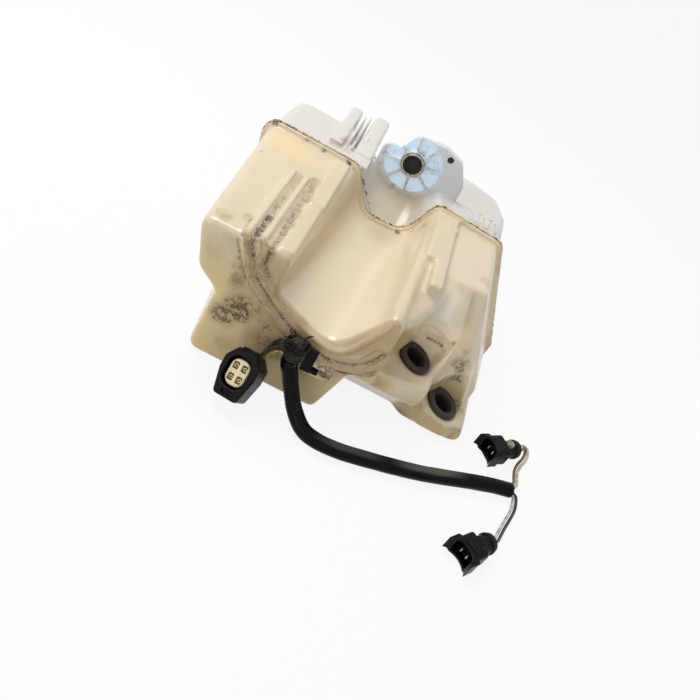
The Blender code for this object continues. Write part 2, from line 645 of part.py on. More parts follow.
def rear_base_sections():
    """Lower body of the rear half, with the flat foot of the tank."""
    far = [(-88 * MM, REAR_DECK - 20 * MM, 12 * MM), (76 * MM, REAR_DECK - 18 * MM, 12 * MM),
           mm(90, 22, 12), mm(88, 6, 5), mm(-84, 6, 5), mm(-86, 36, 8)]
    deck = [(-100 * MM, REAR_DECK, 12 * MM), (84 * MM, REAR_DECK + 2 * MM, 12 * MM),
            mm(100, 20, 12), mm(98, 0, 5), mm(-92, 0, 5), mm(-96, 40, 8)]
    near = [(-110 * MM, REAR_DECK - 3 * MM, 8 * MM), (88 * MM, REAR_DECK - 2 * MM, 8 * MM),
            mm(114, 24, 8), mm(113, 0, 5), mm(-104, 0, 5), mm(-108, 44, 8)]
    weld = [(-111 * MM, REAR_DECK - 10 * MM, 8 * MM), (80 * MM, REAR_DECK - 10 * MM, 8 * MM), mm(115, 22, 8),
            (114 * MM, BELLY_SEAM, 5 * MM), (-104 * MM, BELLY_SEAM, 5 * MM), mm(-109, 44, 8)]
    return [(BACK_Y, far), (BACK_Y - 16 * MM, deck), (34 * MM, near), (half_seam(1), weld)]


def rear_left_sections():
    """High block on the left behind the weld."""
    return [(86 * MM, [mm(-115, 105.5, 8), mm(-61, 105.5, 4), mm(-61, 60, 5), mm(-112, 60, 8)]),
            (half_seam(1),
             [(LEFT_SEAM, TOP_SEAM, 8 * MM), (-58 * MM, TOP_SEAM, 4 * MM), mm(-58, 60, 5), mm(-113, 60, 8)])]


def rear_right_sections():
    """High block on the right behind the hub, with its rounded far corner."""
    return [(121 * MM, [mm(24, 101, 6), mm(60, 101, 12), mm(66, 50, 8), mm(24, 50, 5)]),
            (104 * MM, [mm(22, 103, 6), mm(76, 102, 10), mm(88, 50, 8), mm(22, 50, 5)]),
            (76 * MM, [mm(21, 104, 6), mm(82, 103, 8), mm(100, 50, 8), mm(21, 50, 5)]),
            (half_seam(1), [(25 * MM, TOP_SEAM - 1 * MM, 6 * MM),
                            (RIGHT_TOP, TOP_SEAM - 0.5 * MM, 6 * MM), mm(104, 50, 8), mm(25, 50, 5)])]


def rear_blocks():
    """Name, sections and loft spans of each block behind the weld."""
    return [("rear_base", rear_base_sections(), [1, 2, 1]), ("rear_left", rear_left_sections(), [2]),
            ("rear_right", rear_right_sections(), [1, 1, 2])]


def tongue(name, x0, x1, y0, y1, low, high, rounding):
    """A flat moulded tongue that runs back from the seam side, round at its end."""
    corners = [mm(x0, y0, 0.5), mm(x1, y0, 0.5), mm(x1, y1, rounding), mm(x0, y1, rounding)]
    outline = rounded_outline(corners, [1, 1, 5, 5])
    shave = rounded_outline(inset_corners(corners, 0.6 * MM), [1, 1, 5, 5])
    levels = [(outline, low * MM), (outline, (high - 0.6) * MM), (shave, high * MM)]
    return skin_rings(name, [[Vector((p.x, p.y, level)) for p in ring] for ring, level in levels])


def ear_outline():
    """Outline of the hub's plate, which grows into the ear on its right."""
    corners = [(HUB_X - 27.5 * MM, 96 * MM, 1 * MM), (HUB_X - 27.5 * MM, HUB_Z + 6 * MM, 7 * MM),
               mm(-23, 122.5, 3), mm(-14, 138, 5), mm(8.5, 140.5, 8), mm(25, 135.5, 6), mm(35, 119, 5),
               (36 * MM, 96 * MM, 1 * MM)]
    lower = [mm(26, 90, 6), (HUB_X + 12 * MM, SHELF_FLOOR - 6 * MM, 8 * MM),
             (HUB_X - 12 * MM, SHELF_FLOOR - 6 * MM, 8 * MM)]
    return rounded_outline([*corners, *lower], [2, 4, 3, 4, 5, 4, 4, 2, 3, 3, 3])


def spoke_cell(index):
    """One hollow between two spokes, a ring sector with rounded corners."""
    pitch = 2 * math.pi / SPOKES
    middle = pitch * (index + 0.5) + math.radians(9)
    inner = BOSS_RADIUS + 0.2 * MM
    outer = RIM_RADIUS - RIM_WIDTH
    points = []
    for radius, count, order in ((outer, 6, 1), (inner, 3, -1)):
        half = pitch / 2 - math.asin(SPOKE_WIDTH / 2 / radius)
        for share in np.linspace(-1, 1, count):
            angle = middle + order * half * share
            points.append(((HUB_X + radius * math.cos(angle)), (HUB_Z + radius * math.sin(angle))))
    return points


def keyhole(name, x, y, height):
    """A small raised outline of a ring on two spread legs."""
    ring = 3.0 * MM
    width = 1.1 * MM
    path = [(x - 4.2 * MM, y - 17 * MM, height), (x - 2.6 * MM, y - 9 * MM, height),
            (x - 1.8 * MM, y - 3.6 * MM, height)]
    for angle in np.linspace(math.radians(232), math.radians(-52), 11):
        path.append((x + ring * math.cos(angle), y + ring * math.sin(angle), height))
    path += [(x + 1.8 * MM, y - 3.6 * MM, height), (x + 2.6 * MM, y - 9 * MM, height),
             (x + 4.2 * MM, y - 17 * MM, height)]
    return swept(name, path, [(0, 0, 1)] * len(path), width, 1.3 * MM, 1.0 * MM)


def spigot_frame():
    """The filler spigot's frame, on the rear half's deck."""
    return Matrix.Translation((SPIGOT_X, SPIGOT_Y, REAR_DECK))


def spigot_profile():
    """The spigot's outer side, with a bead that keeps its hose on."""
    bead = SPIGOT_HEIGHT - 4 * MM
    return [(0.0, -SPIGOT_ROOT), (SPIGOT_RADIUS, -SPIGOT_ROOT), (SPIGOT_RADIUS, bead),
            (SPIGOT_RADIUS + SPIGOT_BEAD, bead + SPIGOT_BEAD), (SPIGOT_RADIUS, SPIGOT_HEIGHT),
            (0.0, SPIGOT_HEIGHT)]


def make_rear_shell():
    shell = moulded_block("rear_shell", pocket_sections(), spans=[1, 3], fillet=2.5 * MM)
    hollow = moulded_block("pocket_hollow", pocket_sections(), inset=WALL, spans=[1, 3], fillet=2.5 * MM,
                           shift=0.0)
    for name, sections, spans in rear_blocks():
        mould(shell, moulded_block(name + "_block", sections, spans=spans), "UNION")
        mould(hollow, moulded_block(name + "_hollow", sections, inset=WALL, spans=spans), "UNION")
    mould(hollow,
          cylinder("boss_wall", BOSS_RADIUS + WALL, HUB_FACE_Y - 2 * MM, HUB_FACE_Y + BOSS_LENGTH + WALL,
                             hub_frame()), "DIFFERENCE")
    mould(shell, flange_ring("rear_flange", 1), "UNION")
    add_tongues(shell)
    for number, x in enumerate((48, 59.4, 69.6)):
        mould(shell, keyhole(f"keyhole_{number}", x * MM, 50 * MM, TOP_SEAM - 0.3 * MM), "UNION")
    mould(shell, plate("hub_plate", [(p.x, p.y) for p in ear_outline()], -PLATE_THICK, 0.0,
                       upright(HUB_FACE_Y)), "UNION")
    mould(shell, cylinder("hub_boss", BOSS_RADIUS, HUB_FACE_Y - 1.2 * MM, HUB_FACE_Y + BOSS_LENGTH,
                          hub_frame()), "UNION")
    mould(shell, turned("spigot", spigot_profile(), spigot_frame()), "UNION")
    mould(shell, hollow, "DIFFERENCE")
    mould(shell, cylinder("spigot_bore", SPIGOT_RADIUS - SPIGOT_WALL, -SPIGOT_ROOT - 6 * MM,
                          SPIGOT_HEIGHT + 10 * MM, spigot_frame()), "DIFFERENCE")
    cut_hub(shell)
    return finish(shell, "rear_plastic")


def hub_frame():
    """A frame on the hub's axis, its Z pointing back along +Y."""
    return Matrix.Translation((HUB_X, 0, HUB_Z)) @ Matrix.Rotation(-math.pi / 2, 4, "X")


def add_tongues(shell):
    """Tongues, fins and the small box that stand behind the weld."""
    mould(shell, tongue("wide_tongue", -75, -64, 38, 126, 84, 107.5, 5.2), "UNION")
    mould(shell, tongue("near_fin", -61.5, -59.4, 40, 122, 84, 106, 0.8), "UNION")
    mould(shell, tongue("far_fin", -57.2, -55.2, 40, 121, 84, 108, 0.8), "UNION")
    mould(shell, tongue("small_box", -52, -38, 22, 42, 84, 106, 1.5), "UNION")
    mould(shell, tongue("tall_tongue", -53, -39, 38, TONGUE_END / MM, 60, 107.5, 5.5), "UNION")


def cut_hub(shell):
    """Cells between the spokes, the sleeve's bore and the ear's hole."""
    face = upright(HUB_FACE_Y)
    depth = PLATE_THICK - WEB_THICK
    for index in range(SPOKES):
        mould(shell, plate(f"cell_{index}", spoke_cell(index), -depth, 4 * MM, face), "DIFFERENCE")
    mould(shell, cylinder("sleeve_hole", SLEEVE_RADIUS + CLEARANCE, HUB_FACE_Y - 9 * MM,
                            HUB_FACE_Y + BOSS_LENGTH + 9 * MM, hub_frame()), "DIFFERENCE")
    ear = Matrix.Translation((EAR_HOLE_X, 0, EAR_HOLE_Z)) @ Matrix.Rotation(-math.pi / 2, 4, "X")
    mould(shell, cylinder("ear_hole", EAR_HOLE_RADIUS, HUB_FACE_Y - 9 * MM, HUB_FACE_Y + 30 * MM, ear,
                          20), "DIFFERENCE")


def make_sleeve():
    low, high = HUB_FACE_Y - 1.2 * MM - SLEEVE_PROUD, HUB_FACE_Y + BOSS_LENGTH + SLEEVE_PROUD
    edge = 0.5 * MM
    profile = [(SLEEVE_BORE, low + edge), (SLEEVE_BORE + edge, low), (SLEEVE_RADIUS - edge, low),
               (SLEEVE_RADIUS, low + edge),
               (SLEEVE_RADIUS, high - edge), (SLEEVE_RADIUS - edge, high), (SLEEVE_BORE + edge, high),
               (SLEEVE_BORE, high - edge)]
    return finish(turned("mounting_sleeve", profile, hub_frame(), 28), "sleeve_steel")


def make_grommet(name, seat):
    """A rubber pump seat: flange, neck, inner lip and a bite for the pump."""
    neck = SEAT_HOLE_RADIUS - CLEARANCE
    top = CLEARANCE + GROMMET_FLANGE_THICK
    under = -WALL - 0.4 * MM - 2 * CLEARANCE
    edge = 0.7 * MM
    bore = GROMMET_BORE_RADIUS
    profile = [(bore, top - edge), (bore + edge, top), (GROMMET_FLANGE_RADIUS - edge, top),
               (GROMMET_FLANGE_RADIUS, top - edge), (GROMMET_FLANGE_RADIUS, CLEARANCE), (neck, CLEARANCE),
               (neck, under),
               (GROMMET_LIP_RADIUS, under), (neck, under - GROMMET_LIP_THICK),
               (bore, under - GROMMET_LIP_THICK)]
    grommet = turned(name, profile, seat_axes(seat), 24)
    bite = seat_axes(seat) @ Matrix.Translation(BITE_AT)
    cut = cylinder(name + "_bite", BITE_RADIUS, CLEARANCE + 0.2 * MM, top + 2 * MM, bite, 24)
    combine(grommet, cut, "DIFFERENCE")
    return finish(grommet, "grommet_rubber")


def make_strainer(name, seat):
    """A slotted cup that hangs inside a pump seat."""
    frame = seat_axes(seat)
    top = 0.5 * MM
    low = top - STRAINER_DEPTH
    outer, inner = STRAINER_RADIUS, STRAINER_RADIUS - STRAINER_WALL
    profile = [(0.0, low), (outer - 1 * MM, low), (outer, low + 1 * MM), (outer, top), (inner, top),
               (inner, low + STRAINER_WALL + 1 * MM), (0.0, low + STRAINER_WALL)]
    cup = turned(name, profile, frame, 24)
    slots = 8
    for index in range(slots // 2):
        turn = frame @ Matrix.Rotation(2 * math.pi * index / slots, 4, "Z")
        bar = [(-12 * MM, -1 * MM), (12 * MM, -1 * MM), (12 * MM, 1 * MM), (-12 * MM, 1 * MM)]
        combine(cup, plate(f"{name}_slot_{index}", bar, low + 3.5 * MM, top - 4 * MM, turn), "DIFFERENCE")
    return finish(cup, "strainer_plastic")


def lead(end, towards, diameter):
    """A point close to a cord's end, which keeps its cap square to its route."""
    end, towards = Vector(end) * MM, Vector(towards) * MM
    return np.array([end + (towards - end).normalized() * 0.5 * diameter])


def cord(name, points, diameter, colour, resolution=2):
    """A conduit or wire: a plain round tube along a smooth open path."""
    length = sum((Vector(b) - Vector(a)).length for a, b in zip(points, points[1:])) * MM
    count = min(80, max(12, round(length / (2 * diameter))))
    path = smooth_path([mm(*point) for point in points], count)
    head, tail = (lead(points[0], points[1], diameter), lead(points[-1], points[-2], diameter))
    path = np.vstack([path[:1], head, path[1:-1], tail, path[-1:]])
    curve = bpy.data.curves.new(name, "CURVE")
    curve.dimensions = "3D"
    curve.bevel_depth = diameter / 2
    curve.bevel_resolution = resolution
    curve.use_fill_caps = True
    spline = curve.splines.new("POLY")
    spline.points.add(len(path) - 1)
    for node, point in zip(spline.points, path):
        node.co = (*point, 1.0)
    item = bpy.data.objects.new(name, curve)
    bpy.context.scene.collection.objects.link(item)
    return finish(item, colour)


def beside(points, distance):
    """A route moved sideways in plan, for the second wire of a pair."""
    flat = np.array(points, dtype=float)
    slope = np.gradient(flat, axis=0)
    side = np.stack([-slope[:, 1], slope[:, 0]], axis=1)
    side /= np.linalg.norm(side, axis=1)[:, None]
    flat[:, :2] += side * distance / MM
    return [tuple(point) for point in flat]


def make_tape():
    """Tape wrapped round the branch where the short wires leave the conduit."""
    frame = Matrix.Translation(TAPE_LOW)
    radius, height = TAPE_RADIUS, TAPE_HEIGHT
    profile = [(0.0, 0.0), (radius - 1 * MM, 0.0), (radius - 0.4 * MM, 0.8 * MM),
               (radius - 0.4 * MM, CLIP_RISE - 1 * MM),
               (radius, CLIP_RISE - 0.6 * MM), (radius, CLIP_RISE + 4.6 * MM),
               (radius - 0.8 * MM, height - 1.6 * MM),
               (radius - 2.6 * MM, height), (0.0, height)]
    return finish(turned("branch_tape", profile, frame, 20), "tape_black")


def make_clip():
    """Clip that grips the taped branch and plugs into the tank's bracket."""
    height = 4.0 * MM
    low = TAPE_LOW.z + CLIP_RISE
    inner, outer = TAPE_RADIUS + CLEARANCE, TAPE_RADIUS + 1.9 * MM
    frame = Matrix.Translation((TAPE_LOW.x, TAPE_LOW.y, low))
    clip = turned("harness_clip", [(inner, 0.0), (outer, 0.0), (outer, height), (inner, height)], frame, 32)
    back = [mm(-36, -134.4), mm(-12, -134.4), mm(-12, -128), mm(-36, -128)]
    combine(clip, plate("clip_back", back, low - 1 * MM, low + height + 1 * MM), "DIFFERENCE")
    arm = [mm(-16.8, -139.4), mm(-10, -139.4), mm(-10, -137.9), mm(-16.8, -137.9)]
    combine(clip, plate("clip_arm", arm, 34.9 * MM, low + height - 0.3 * MM), "UNION")
    blade = [mm(-14.6, -138.6), mm(-5, -138.6), mm(-5, -134.0), mm(-14.6, -134.0)]
    combine(clip, plate("clip_blade", blade, 35.0 * MM, 37.9 * MM), "UNION")
    return finish(clip, "black_plastic")


def plug_frame(place, turn, roll=0.0):
    """A pump plug's frame: X towards its wires, Z up before any roll."""
    return (Matrix.Translation(Vector(place) * MM) @ Matrix.Rotation(turn, 4, "Z")
            @ Matrix.Rotation(roll, 4, "X"))


def near_plug_frame():
    return plug_frame(NEAR_PLUG_AT, NEAR_PLUG_TURN)


def far_plug_frame():
    """The far plug lies on its latch, so that its lock disc is on top."""
    return plug_frame(FAR_PLUG_AT, FAR_PLUG_TURN, math.pi)


def along_x(x):
    """A frame whose Z runs along +X, set at a place on the X axis."""
    return Matrix.Translation((x, 0, 0)) @ Matrix.Rotation(math.pi / 2, 4, "Y")


def make_pump_plug(name, frame):
    """A two-way plug: hood, tail, latch, seal, lock disc and two terminals."""
    half_w, half_h, length = PUMP_PLUG_WIDTH / 2, PUMP_PLUG_HEIGHT / 2, PUMP_PLUG_LENGTH
    front = -length / 2
    tail = frame @ along_x(length / 2)
    outline = rounded_outline([(-half_h, -half_w, 3 * MM), (half_h, -half_w, 3 * MM),
                               (half_h, half_w, 3 * MM),
                               (-half_h, half_w, 3 * MM)], [3] * 4)
    body = plate(name + "_housing", [(p.x, p.y) for p in outline], 0.0, length, frame @ along_x(front))
    collar, bore = PUMP_TAIL_RADIUS + 0.8 * MM, PUMP_TAIL_RADIUS - 1.7 * MM
    seat = PUMP_TAIL_LENGTH - PUMP_SEAL_DEPTH
    profile = [(0.0, -2 * MM), (PUMP_TAIL_RADIUS, -2 * MM), (PUMP_TAIL_RADIUS, seat),
               (collar, seat + 0.4 * MM),
               (collar, seat + 2.4 * MM), (PUMP_TAIL_RADIUS, seat + 2.8 * MM),
               (PUMP_TAIL_RADIUS, PUMP_TAIL_LENGTH),
               (bore, PUMP_TAIL_LENGTH), (bore, seat), (0.0, seat)]
    mould(body, turned(name + "_tail", profile, tail, 24), "UNION")
    for side in (-1, 1):
        lug = [(front - 5 * MM, side * (half_w + 1.8 * MM)), (front + 5 * MM, side * (half_w + 1.8 * MM)),
               (front + 7 * MM, side * (half_w - 1.1 * MM)), (front - 4.4 * MM, side * (half_w - 1.1 * MM))]
        mould(body, plate(f"{name}_lug_{side}", lug, -5.5 * MM, 5.5 * MM, frame), "UNION")
    latch = [mm(-3, -4.4), mm(6, -4.4), mm(8.6, -3), mm(8.6, 3), mm(6, 4.4), mm(-3, 4.4)]
    mould(body, plate(name + "_latch", latch, half_h - 1.6 * MM, half_h + 1.8 * MM, frame), "UNION")
    mouth = rounded_outline([(-half_h + 1.8 * MM, -half_w + 1.8 * MM, 2 * MM),
                             (half_h - 1.8 * MM, -half_w + 1.8 * MM, 2 * MM),
                             (half_h - 1.8 * MM, half_w - 1.8 * MM, 2 * MM),
                             (-half_h + 1.8 * MM, half_w - 1.8 * MM, 2 * MM)], [3] * 4)
    mould(body, plate(name + "_mouth", [(p.x, p.y) for p in mouth], -6 * MM, PUMP_MOUTH_DEPTH,
                      frame @ along_x(front)), "DIFFERENCE")
    arc = frame @ Matrix.Translation((front - 9.5 * MM, 0, 0))
    mould(body, cylinder(name + "_arc", 12.5 * MM, -15 * MM, 15 * MM, arc, 28), "DIFFERENCE")
    disc_at = frame @ Matrix.Translation((length / 2 + 4.0 * MM, 0, 0)) @ Matrix.Rotation(math.pi, 4, "X")
    mould(body, cylinder(name + "_disc_seat", 3.5 * MM, PUMP_TAIL_RADIUS - 1.6 * MM, 12 * MM, disc_at,
                         16), "DIFFERENCE")
    finish(body, "black_plastic")
    level = PUMP_TAIL_RADIUS - 1.6 * MM + CLEARANCE
    finish(turned(name + "_lock_disc", [(0.0, level), (3.2 * MM, level), (3.2 * MM, level + 2.2 * MM),
                                        (2.8 * MM, level + 2.6 * MM), (0.0, level + 2.6 * MM)], disc_at,
                  16), "cream_plastic")
    seal = cylinder(name + "_seal", bore - CLEARANCE, seat + CLEARANCE, PUMP_TAIL_LENGTH + SEAL_PROUD,
                    tail, 24)
    finish(seal, "grommet_rubber")
    for index, y in enumerate((-WIRE_SPREAD, WIRE_SPREAD)):
        pin = [(-1.4 * MM, y - 0.45 * MM), (1.4 * MM, y - 0.45 * MM), (1.4 * MM, y + 0.45 * MM),
               (-1.4 * MM, y + 0.45 * MM)]
        blade = plate(f"{name}_terminal_{index + 1}", pin, 3.5 * MM, PUMP_MOUTH_DEPTH + 2.7 * MM,
                      frame @ along_x(front))
        hole = [(-1.7 * MM, y - 0.75 * MM), (1.7 * MM, y - 0.75 * MM), (1.7 * MM, y + 0.75 * MM),
                (-1.7 * MM, y + 0.75 * MM)]
        mould(body, plate(f"{name}_pin_seat_{index}", hole, PUMP_MOUTH_DEPTH - 1 * MM,
                          PUMP_MOUTH_DEPTH + 3 * MM, frame @ along_x(front)), "DIFFERENCE")
        finish(blade, "terminal_brass")
    return body


def four_way_frame():
    """The four-way plug's frame: Z out of its mating face, Y up along it."""
    out = Vector((-0.30, -0.76, 0.58)).normalized()
    up = (Vector((0.03, 0.6, 0.8)) - out * out.dot(Vector((0.03, 0.6, 0.8)))).normalized()
    return Matrix.Translation(FOUR_WAY_FACE) @ Matrix((up.cross(out), up, out)).transposed().to_4x4()


def make_four_way():
    """The sealed four-way plug: shield-shaped housing, insert and terminals."""
    frame = four_way_frame()
    shield = [mm(-6.5, 16.2, 2.5), mm(6.5, 16.2, 2.5), mm(12.4, 9.5, 3), mm(12.4, 0, 4), mm(8.6, -16.2, 2.5),
              mm(-8.4, -16.2, 2.5), mm(-12.4, 0, 4), mm(-12.4, 8, 3)]
    steps = [3] * len(shield)
    levels = [(1.2, -FOUR_WAY_LENGTH / MM), (0.0, -FOUR_WAY_LENGTH / MM + 1.5), (0.0, -1.0), (0.8, 0.0)]
    rings = [[frame @ Vector((p.x, p.y, level * MM)) for p in rounded_outline(inset_corners(shield,
                                                                                            inset * MM),
                                                                              steps)]
             for inset, level in levels]
    body = skin_rings("four_way_housing", rings)
    oval = [mm(-8.4, 11.6, 6.5), mm(8.4, 11.6, 6.5), mm(8.4, -9.4, 6.5), mm(-8.4, -9.4, 6.5)]
    mouth = rounded_outline(oval, [5] * 4)
    combine(body, plate("four_way_mouth", [(p.x, p.y) for p in mouth], -FOUR_WAY_CAVITY, 4 * MM, frame),
            "DIFFERENCE")
    sill = [mm(-4, -11.2), mm(4, -11.2), mm(3.4, -13.8), mm(-3.4, -13.8)]
    combine(body, plate("four_way_sill", sill, -2.2 * MM, 4 * MM, frame), "DIFFERENCE")
    lever = [mm(-5, 15.4), mm(5, 15.4), mm(5, 17.6), mm(-5, 17.6)]
    combine(body, plate("four_way_latch", lever, -14 * MM, -3 * MM, frame), "UNION")
    combine(body, cylinder("four_way_seal_bore", 6.6 * MM, -30 * MM, -FOUR_WAY_LENGTH + 3.2 * MM, frame,
                           28), "DIFFERENCE")
    finish(body, "black_plastic")
    lift = -FOUR_WAY_CAVITY + CLEARANCE
    core = [mm(-6.6, 9.9, 5.2), mm(6.6, 9.9, 5.2), mm(6.6, -7.7, 5.2), mm(-6.6, -7.7, 5.2)]
    outlines = [(core, lift), (core, -2.0 * MM), (inset_corners(core, 0.7 * MM), -1.3 * MM)]
    insert = skin_rings("four_way_insert",
                        [[frame @ Vector((p.x, p.y, z)) for p in rounded_outline(outline, [5] * 4)]
                                            for outline, z in outlines])
    for row in (-1, 1):
        for column in (-1, 1):
            x, y = column * 3.1 * MM, (1.1 + row * 3.9) * MM
            number = (row + 1) + (column + 1) // 2 + 1
            slot = [(x - 2 * MM, y - 2.4 * MM), (x + 2 * MM, y - 2.4 * MM), (x + 2 * MM, y + 2.4 * MM),
                    (x - 2 * MM, y + 2.4 * MM)]
            combine(insert, plate(f"insert_slot_{number}", slot, lift + 1.5 * MM, 2 * MM, frame),
                    "DIFFERENCE")
            pin = turned(f"four_way_terminal_{number}",
                         [(0.7 * MM, 0.0), (1.3 * MM, 0.0), (1.3 * MM, 4.2 * MM), (0.7 * MM, 4.2 * MM)],
                         frame @ Matrix.Translation((x, y, lift + 1.8 * MM)), 12)
            finish(pin, "terminal_brass")
    finish(insert, "cream_plastic")
    seal = cylinder("four_way_seal", 6.3 * MM, -FOUR_WAY_LENGTH - 0.6 * MM, -FOUR_WAY_LENGTH + 2.9 * MM,
                    frame, 28)
    finish(seal, "grommet_rubber")


def pigtail_route(number):
    """One short wire from the tape to the back of the four-way plug."""
    frame = four_way_frame()
    row, lane = number // 2, number % 2
    x, y = 1.9 - 3.8 * row, 1.9 - 3.8 * lane
    behind, end = (tuple(frame @ (Vector((x, y, depth)) * MM) / MM) for depth in (-24.5 - 3 * lane, -19.0))
    left = (TAPE_LOW.x - TAPE_RADIUS) / MM - 0.3
    front = TAPE_LOW.y / MM - 1.5 + 3.0 * lane
    z = TAPE_LOW.z / MM + 2.2 + 3.0 * row
    return [(left, front, z), (left - 2.6 - row, front + 0.6, z - 0.8),
            (left - 5.9 - 3 * row, front + 4.5, z - 8 - 3 * row),
            (left - 7.5 - 3 * row, front + 6.6 - 0.4 * lane, z - 14.6 - 3 * row), behind, end]


def make_cords():
    cord("conduit", LOOM_ROUTE, LOOM_DIAMETER, "loom_vinyl", 3)
    for number, colour in enumerate(("wire_yellow", "wire_black", "wire_black", "wire_brown")):
        cord(f"pigtail_wire_{number + 1}", pigtail_route(number), WIRE_DIAMETER, colour)
    for name, route, frame, colours in (
            ("far", FAR_WIRE_ROUTE, far_plug_frame(), ("wire_white", "wire_brown")),
            ("near", NEAR_WIRE_ROUTE, near_plug_frame(), ("wire_white", "wire_black"))):
        end = PUMP_PLUG_LENGTH / 2 + PUMP_TAIL_LENGTH + SEAL_PROUD + CLEARANCE
        entry = [tuple(frame @ Vector((end + back, 0, 0)) / MM) for back in (3.6 * MM, 0.0)]
        for number, side in enumerate((-1, 1)):
            cord(f"{name}_wire_{number + 1}", beside(route + entry, side * WIRE_SPREAD / 2),
                 WIRE_DIAMETER, colours[number])


def main():
    clear_scene()
    make_front_shell()
    make_rear_shell()
    make_sleeve()
    for name, seat in (("upper", UPPER_SEAT), ("lower", LOWER_SEAT)):
        make_grommet(name + "_pump_grommet", seat)
        make_strainer(name + "_strainer", seat)
    make_tape()
    make_clip()
    make_four_way()
    make_pump_plug("near_plug", near_plug_frame())
    make_pump_plug("far_plug", far_plug_frame())
    make_cords()


main()
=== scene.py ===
"""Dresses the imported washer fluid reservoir: moulded shells, weld, pump seats, harness and stage.

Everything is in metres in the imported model's own frame: +Z up, the origin on the floor under the
middle of the tank, +Y from the trough's mouth towards the hub.
"""
import math

import bmesh
import bpy
import numpy as np
from bpy.props import FloatProperty, FloatVectorProperty, PointerProperty
from mathutils import Matrix, Vector


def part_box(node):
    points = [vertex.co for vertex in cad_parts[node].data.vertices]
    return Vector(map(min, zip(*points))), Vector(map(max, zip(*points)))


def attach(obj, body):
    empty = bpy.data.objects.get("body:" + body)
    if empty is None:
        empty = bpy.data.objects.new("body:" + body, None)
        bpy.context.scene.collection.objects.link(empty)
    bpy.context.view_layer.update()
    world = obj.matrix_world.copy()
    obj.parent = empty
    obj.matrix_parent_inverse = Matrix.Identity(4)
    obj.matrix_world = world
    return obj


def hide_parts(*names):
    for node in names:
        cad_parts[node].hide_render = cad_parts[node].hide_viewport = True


bl_info = {
    "name": "Washer Fluid Reservoir",
    "version": (1, 0, 0),
    "blender": (4, 5, 0),
    "location": "View3D > Sidebar > Reservoir",
    "description": "Builds the visible pieces of a two-part moulded washer tank and its pump harness",
    "category": "Object",
}

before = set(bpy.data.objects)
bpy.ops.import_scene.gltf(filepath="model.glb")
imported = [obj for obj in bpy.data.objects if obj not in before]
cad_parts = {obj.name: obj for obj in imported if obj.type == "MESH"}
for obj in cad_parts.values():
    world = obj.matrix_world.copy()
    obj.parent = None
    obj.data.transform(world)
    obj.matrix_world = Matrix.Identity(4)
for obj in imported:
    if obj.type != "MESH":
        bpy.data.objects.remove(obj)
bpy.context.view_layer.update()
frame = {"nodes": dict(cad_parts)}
MM = 0.001
SEAM_Y = 19.0 * MM
HUB_X, HUB_Z, HUB_FACE_Y = -8.4 * MM, 116.0 * MM, 47.0 * MM
EAR_HOLE_X, EAR_HOLE_Z = 15.8 * MM, 133.0 * MM
TOP_SEAM = 104.0 * MM
# The rear shell's walls are thinner in places, so its cells are this share of the front's
REAR_VOXEL_SHARE = 0.58
MOST_SHELL_TRIANGLES = 195000
# Strength of the painted glow that stands for light coming through the thin plastic
THROUGH_LIGHT = 0.34
# How white the floor and the sky are to the camera and in reflections
FLOOR_SEEN, SKY_SEEN = 0.88, 0.94

# Middle lines of the harness in millimetres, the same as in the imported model
LOOM_ROUTE = [(-24.4, -140.4, 40.3), (-24.2, -140.4, 36.4), (-20.2, -141.4, 29), (-15.6, -143.6, 21.5),
              (-7.6, -149, 11.5), (2, -156.8, 6.9), (12, -160.2, 5.9), (28.3, -159.9, 5.9), (53.2, -154, 5.9),
              (87.3, -143.6, 5.9), (122.7, -129, 5.9), (141.3, -121.8, 5.9), (155.6, -117.6, 5.9)]
FAR_WIRE_ROUTE = [(156.8, -114.1, 7.0), (160.2, -107.5, 4.6), (161.8, -99, 2.0), (162.6, -90, 1.3),
                  (164.6, -83, 2.2), (167.4, -76.6, 4.6), (167.2, -70.4, 7.4), (163.2, -70.6, 9.4)]
NEAR_WIRE_ROUTE = [(158.0, -118.3, 4.4), (160.8, -119.8, 3.6), (161.6, -124.5, 2.0), (160.8, -130.5, 1.4),
                   (158.2, -138.5, 1.4), (154.3, -149.1, 1.4), (150.2, -160.2, 3.4), (147.0, -167.4, 6.6)]
NEAR_PLUG = ((126.9, -189.8, 8.2), math.radians(47.0), 0.0)
FAR_PLUG = ((138.8, -90.0, 9.8), math.radians(35.0), math.pi)
PLUG_LENGTH, PLUG_TAIL = 14.5, 14.0
WIRE_END = PLUG_LENGTH / 2 + PLUG_TAIL + 0.5
TAPE_LOW = (-24.4, -140.4, 41.0)
TAPE_RADIUS, TAPE_HEIGHT = 6.4, 16.5
FOUR_WAY_FACE = (-50.2, -160.6, 25.6)
WIRE_SPREAD = 2.7
# How far the lock disc's underside lies from its plug's axis
DISC_SEAT = 5.3

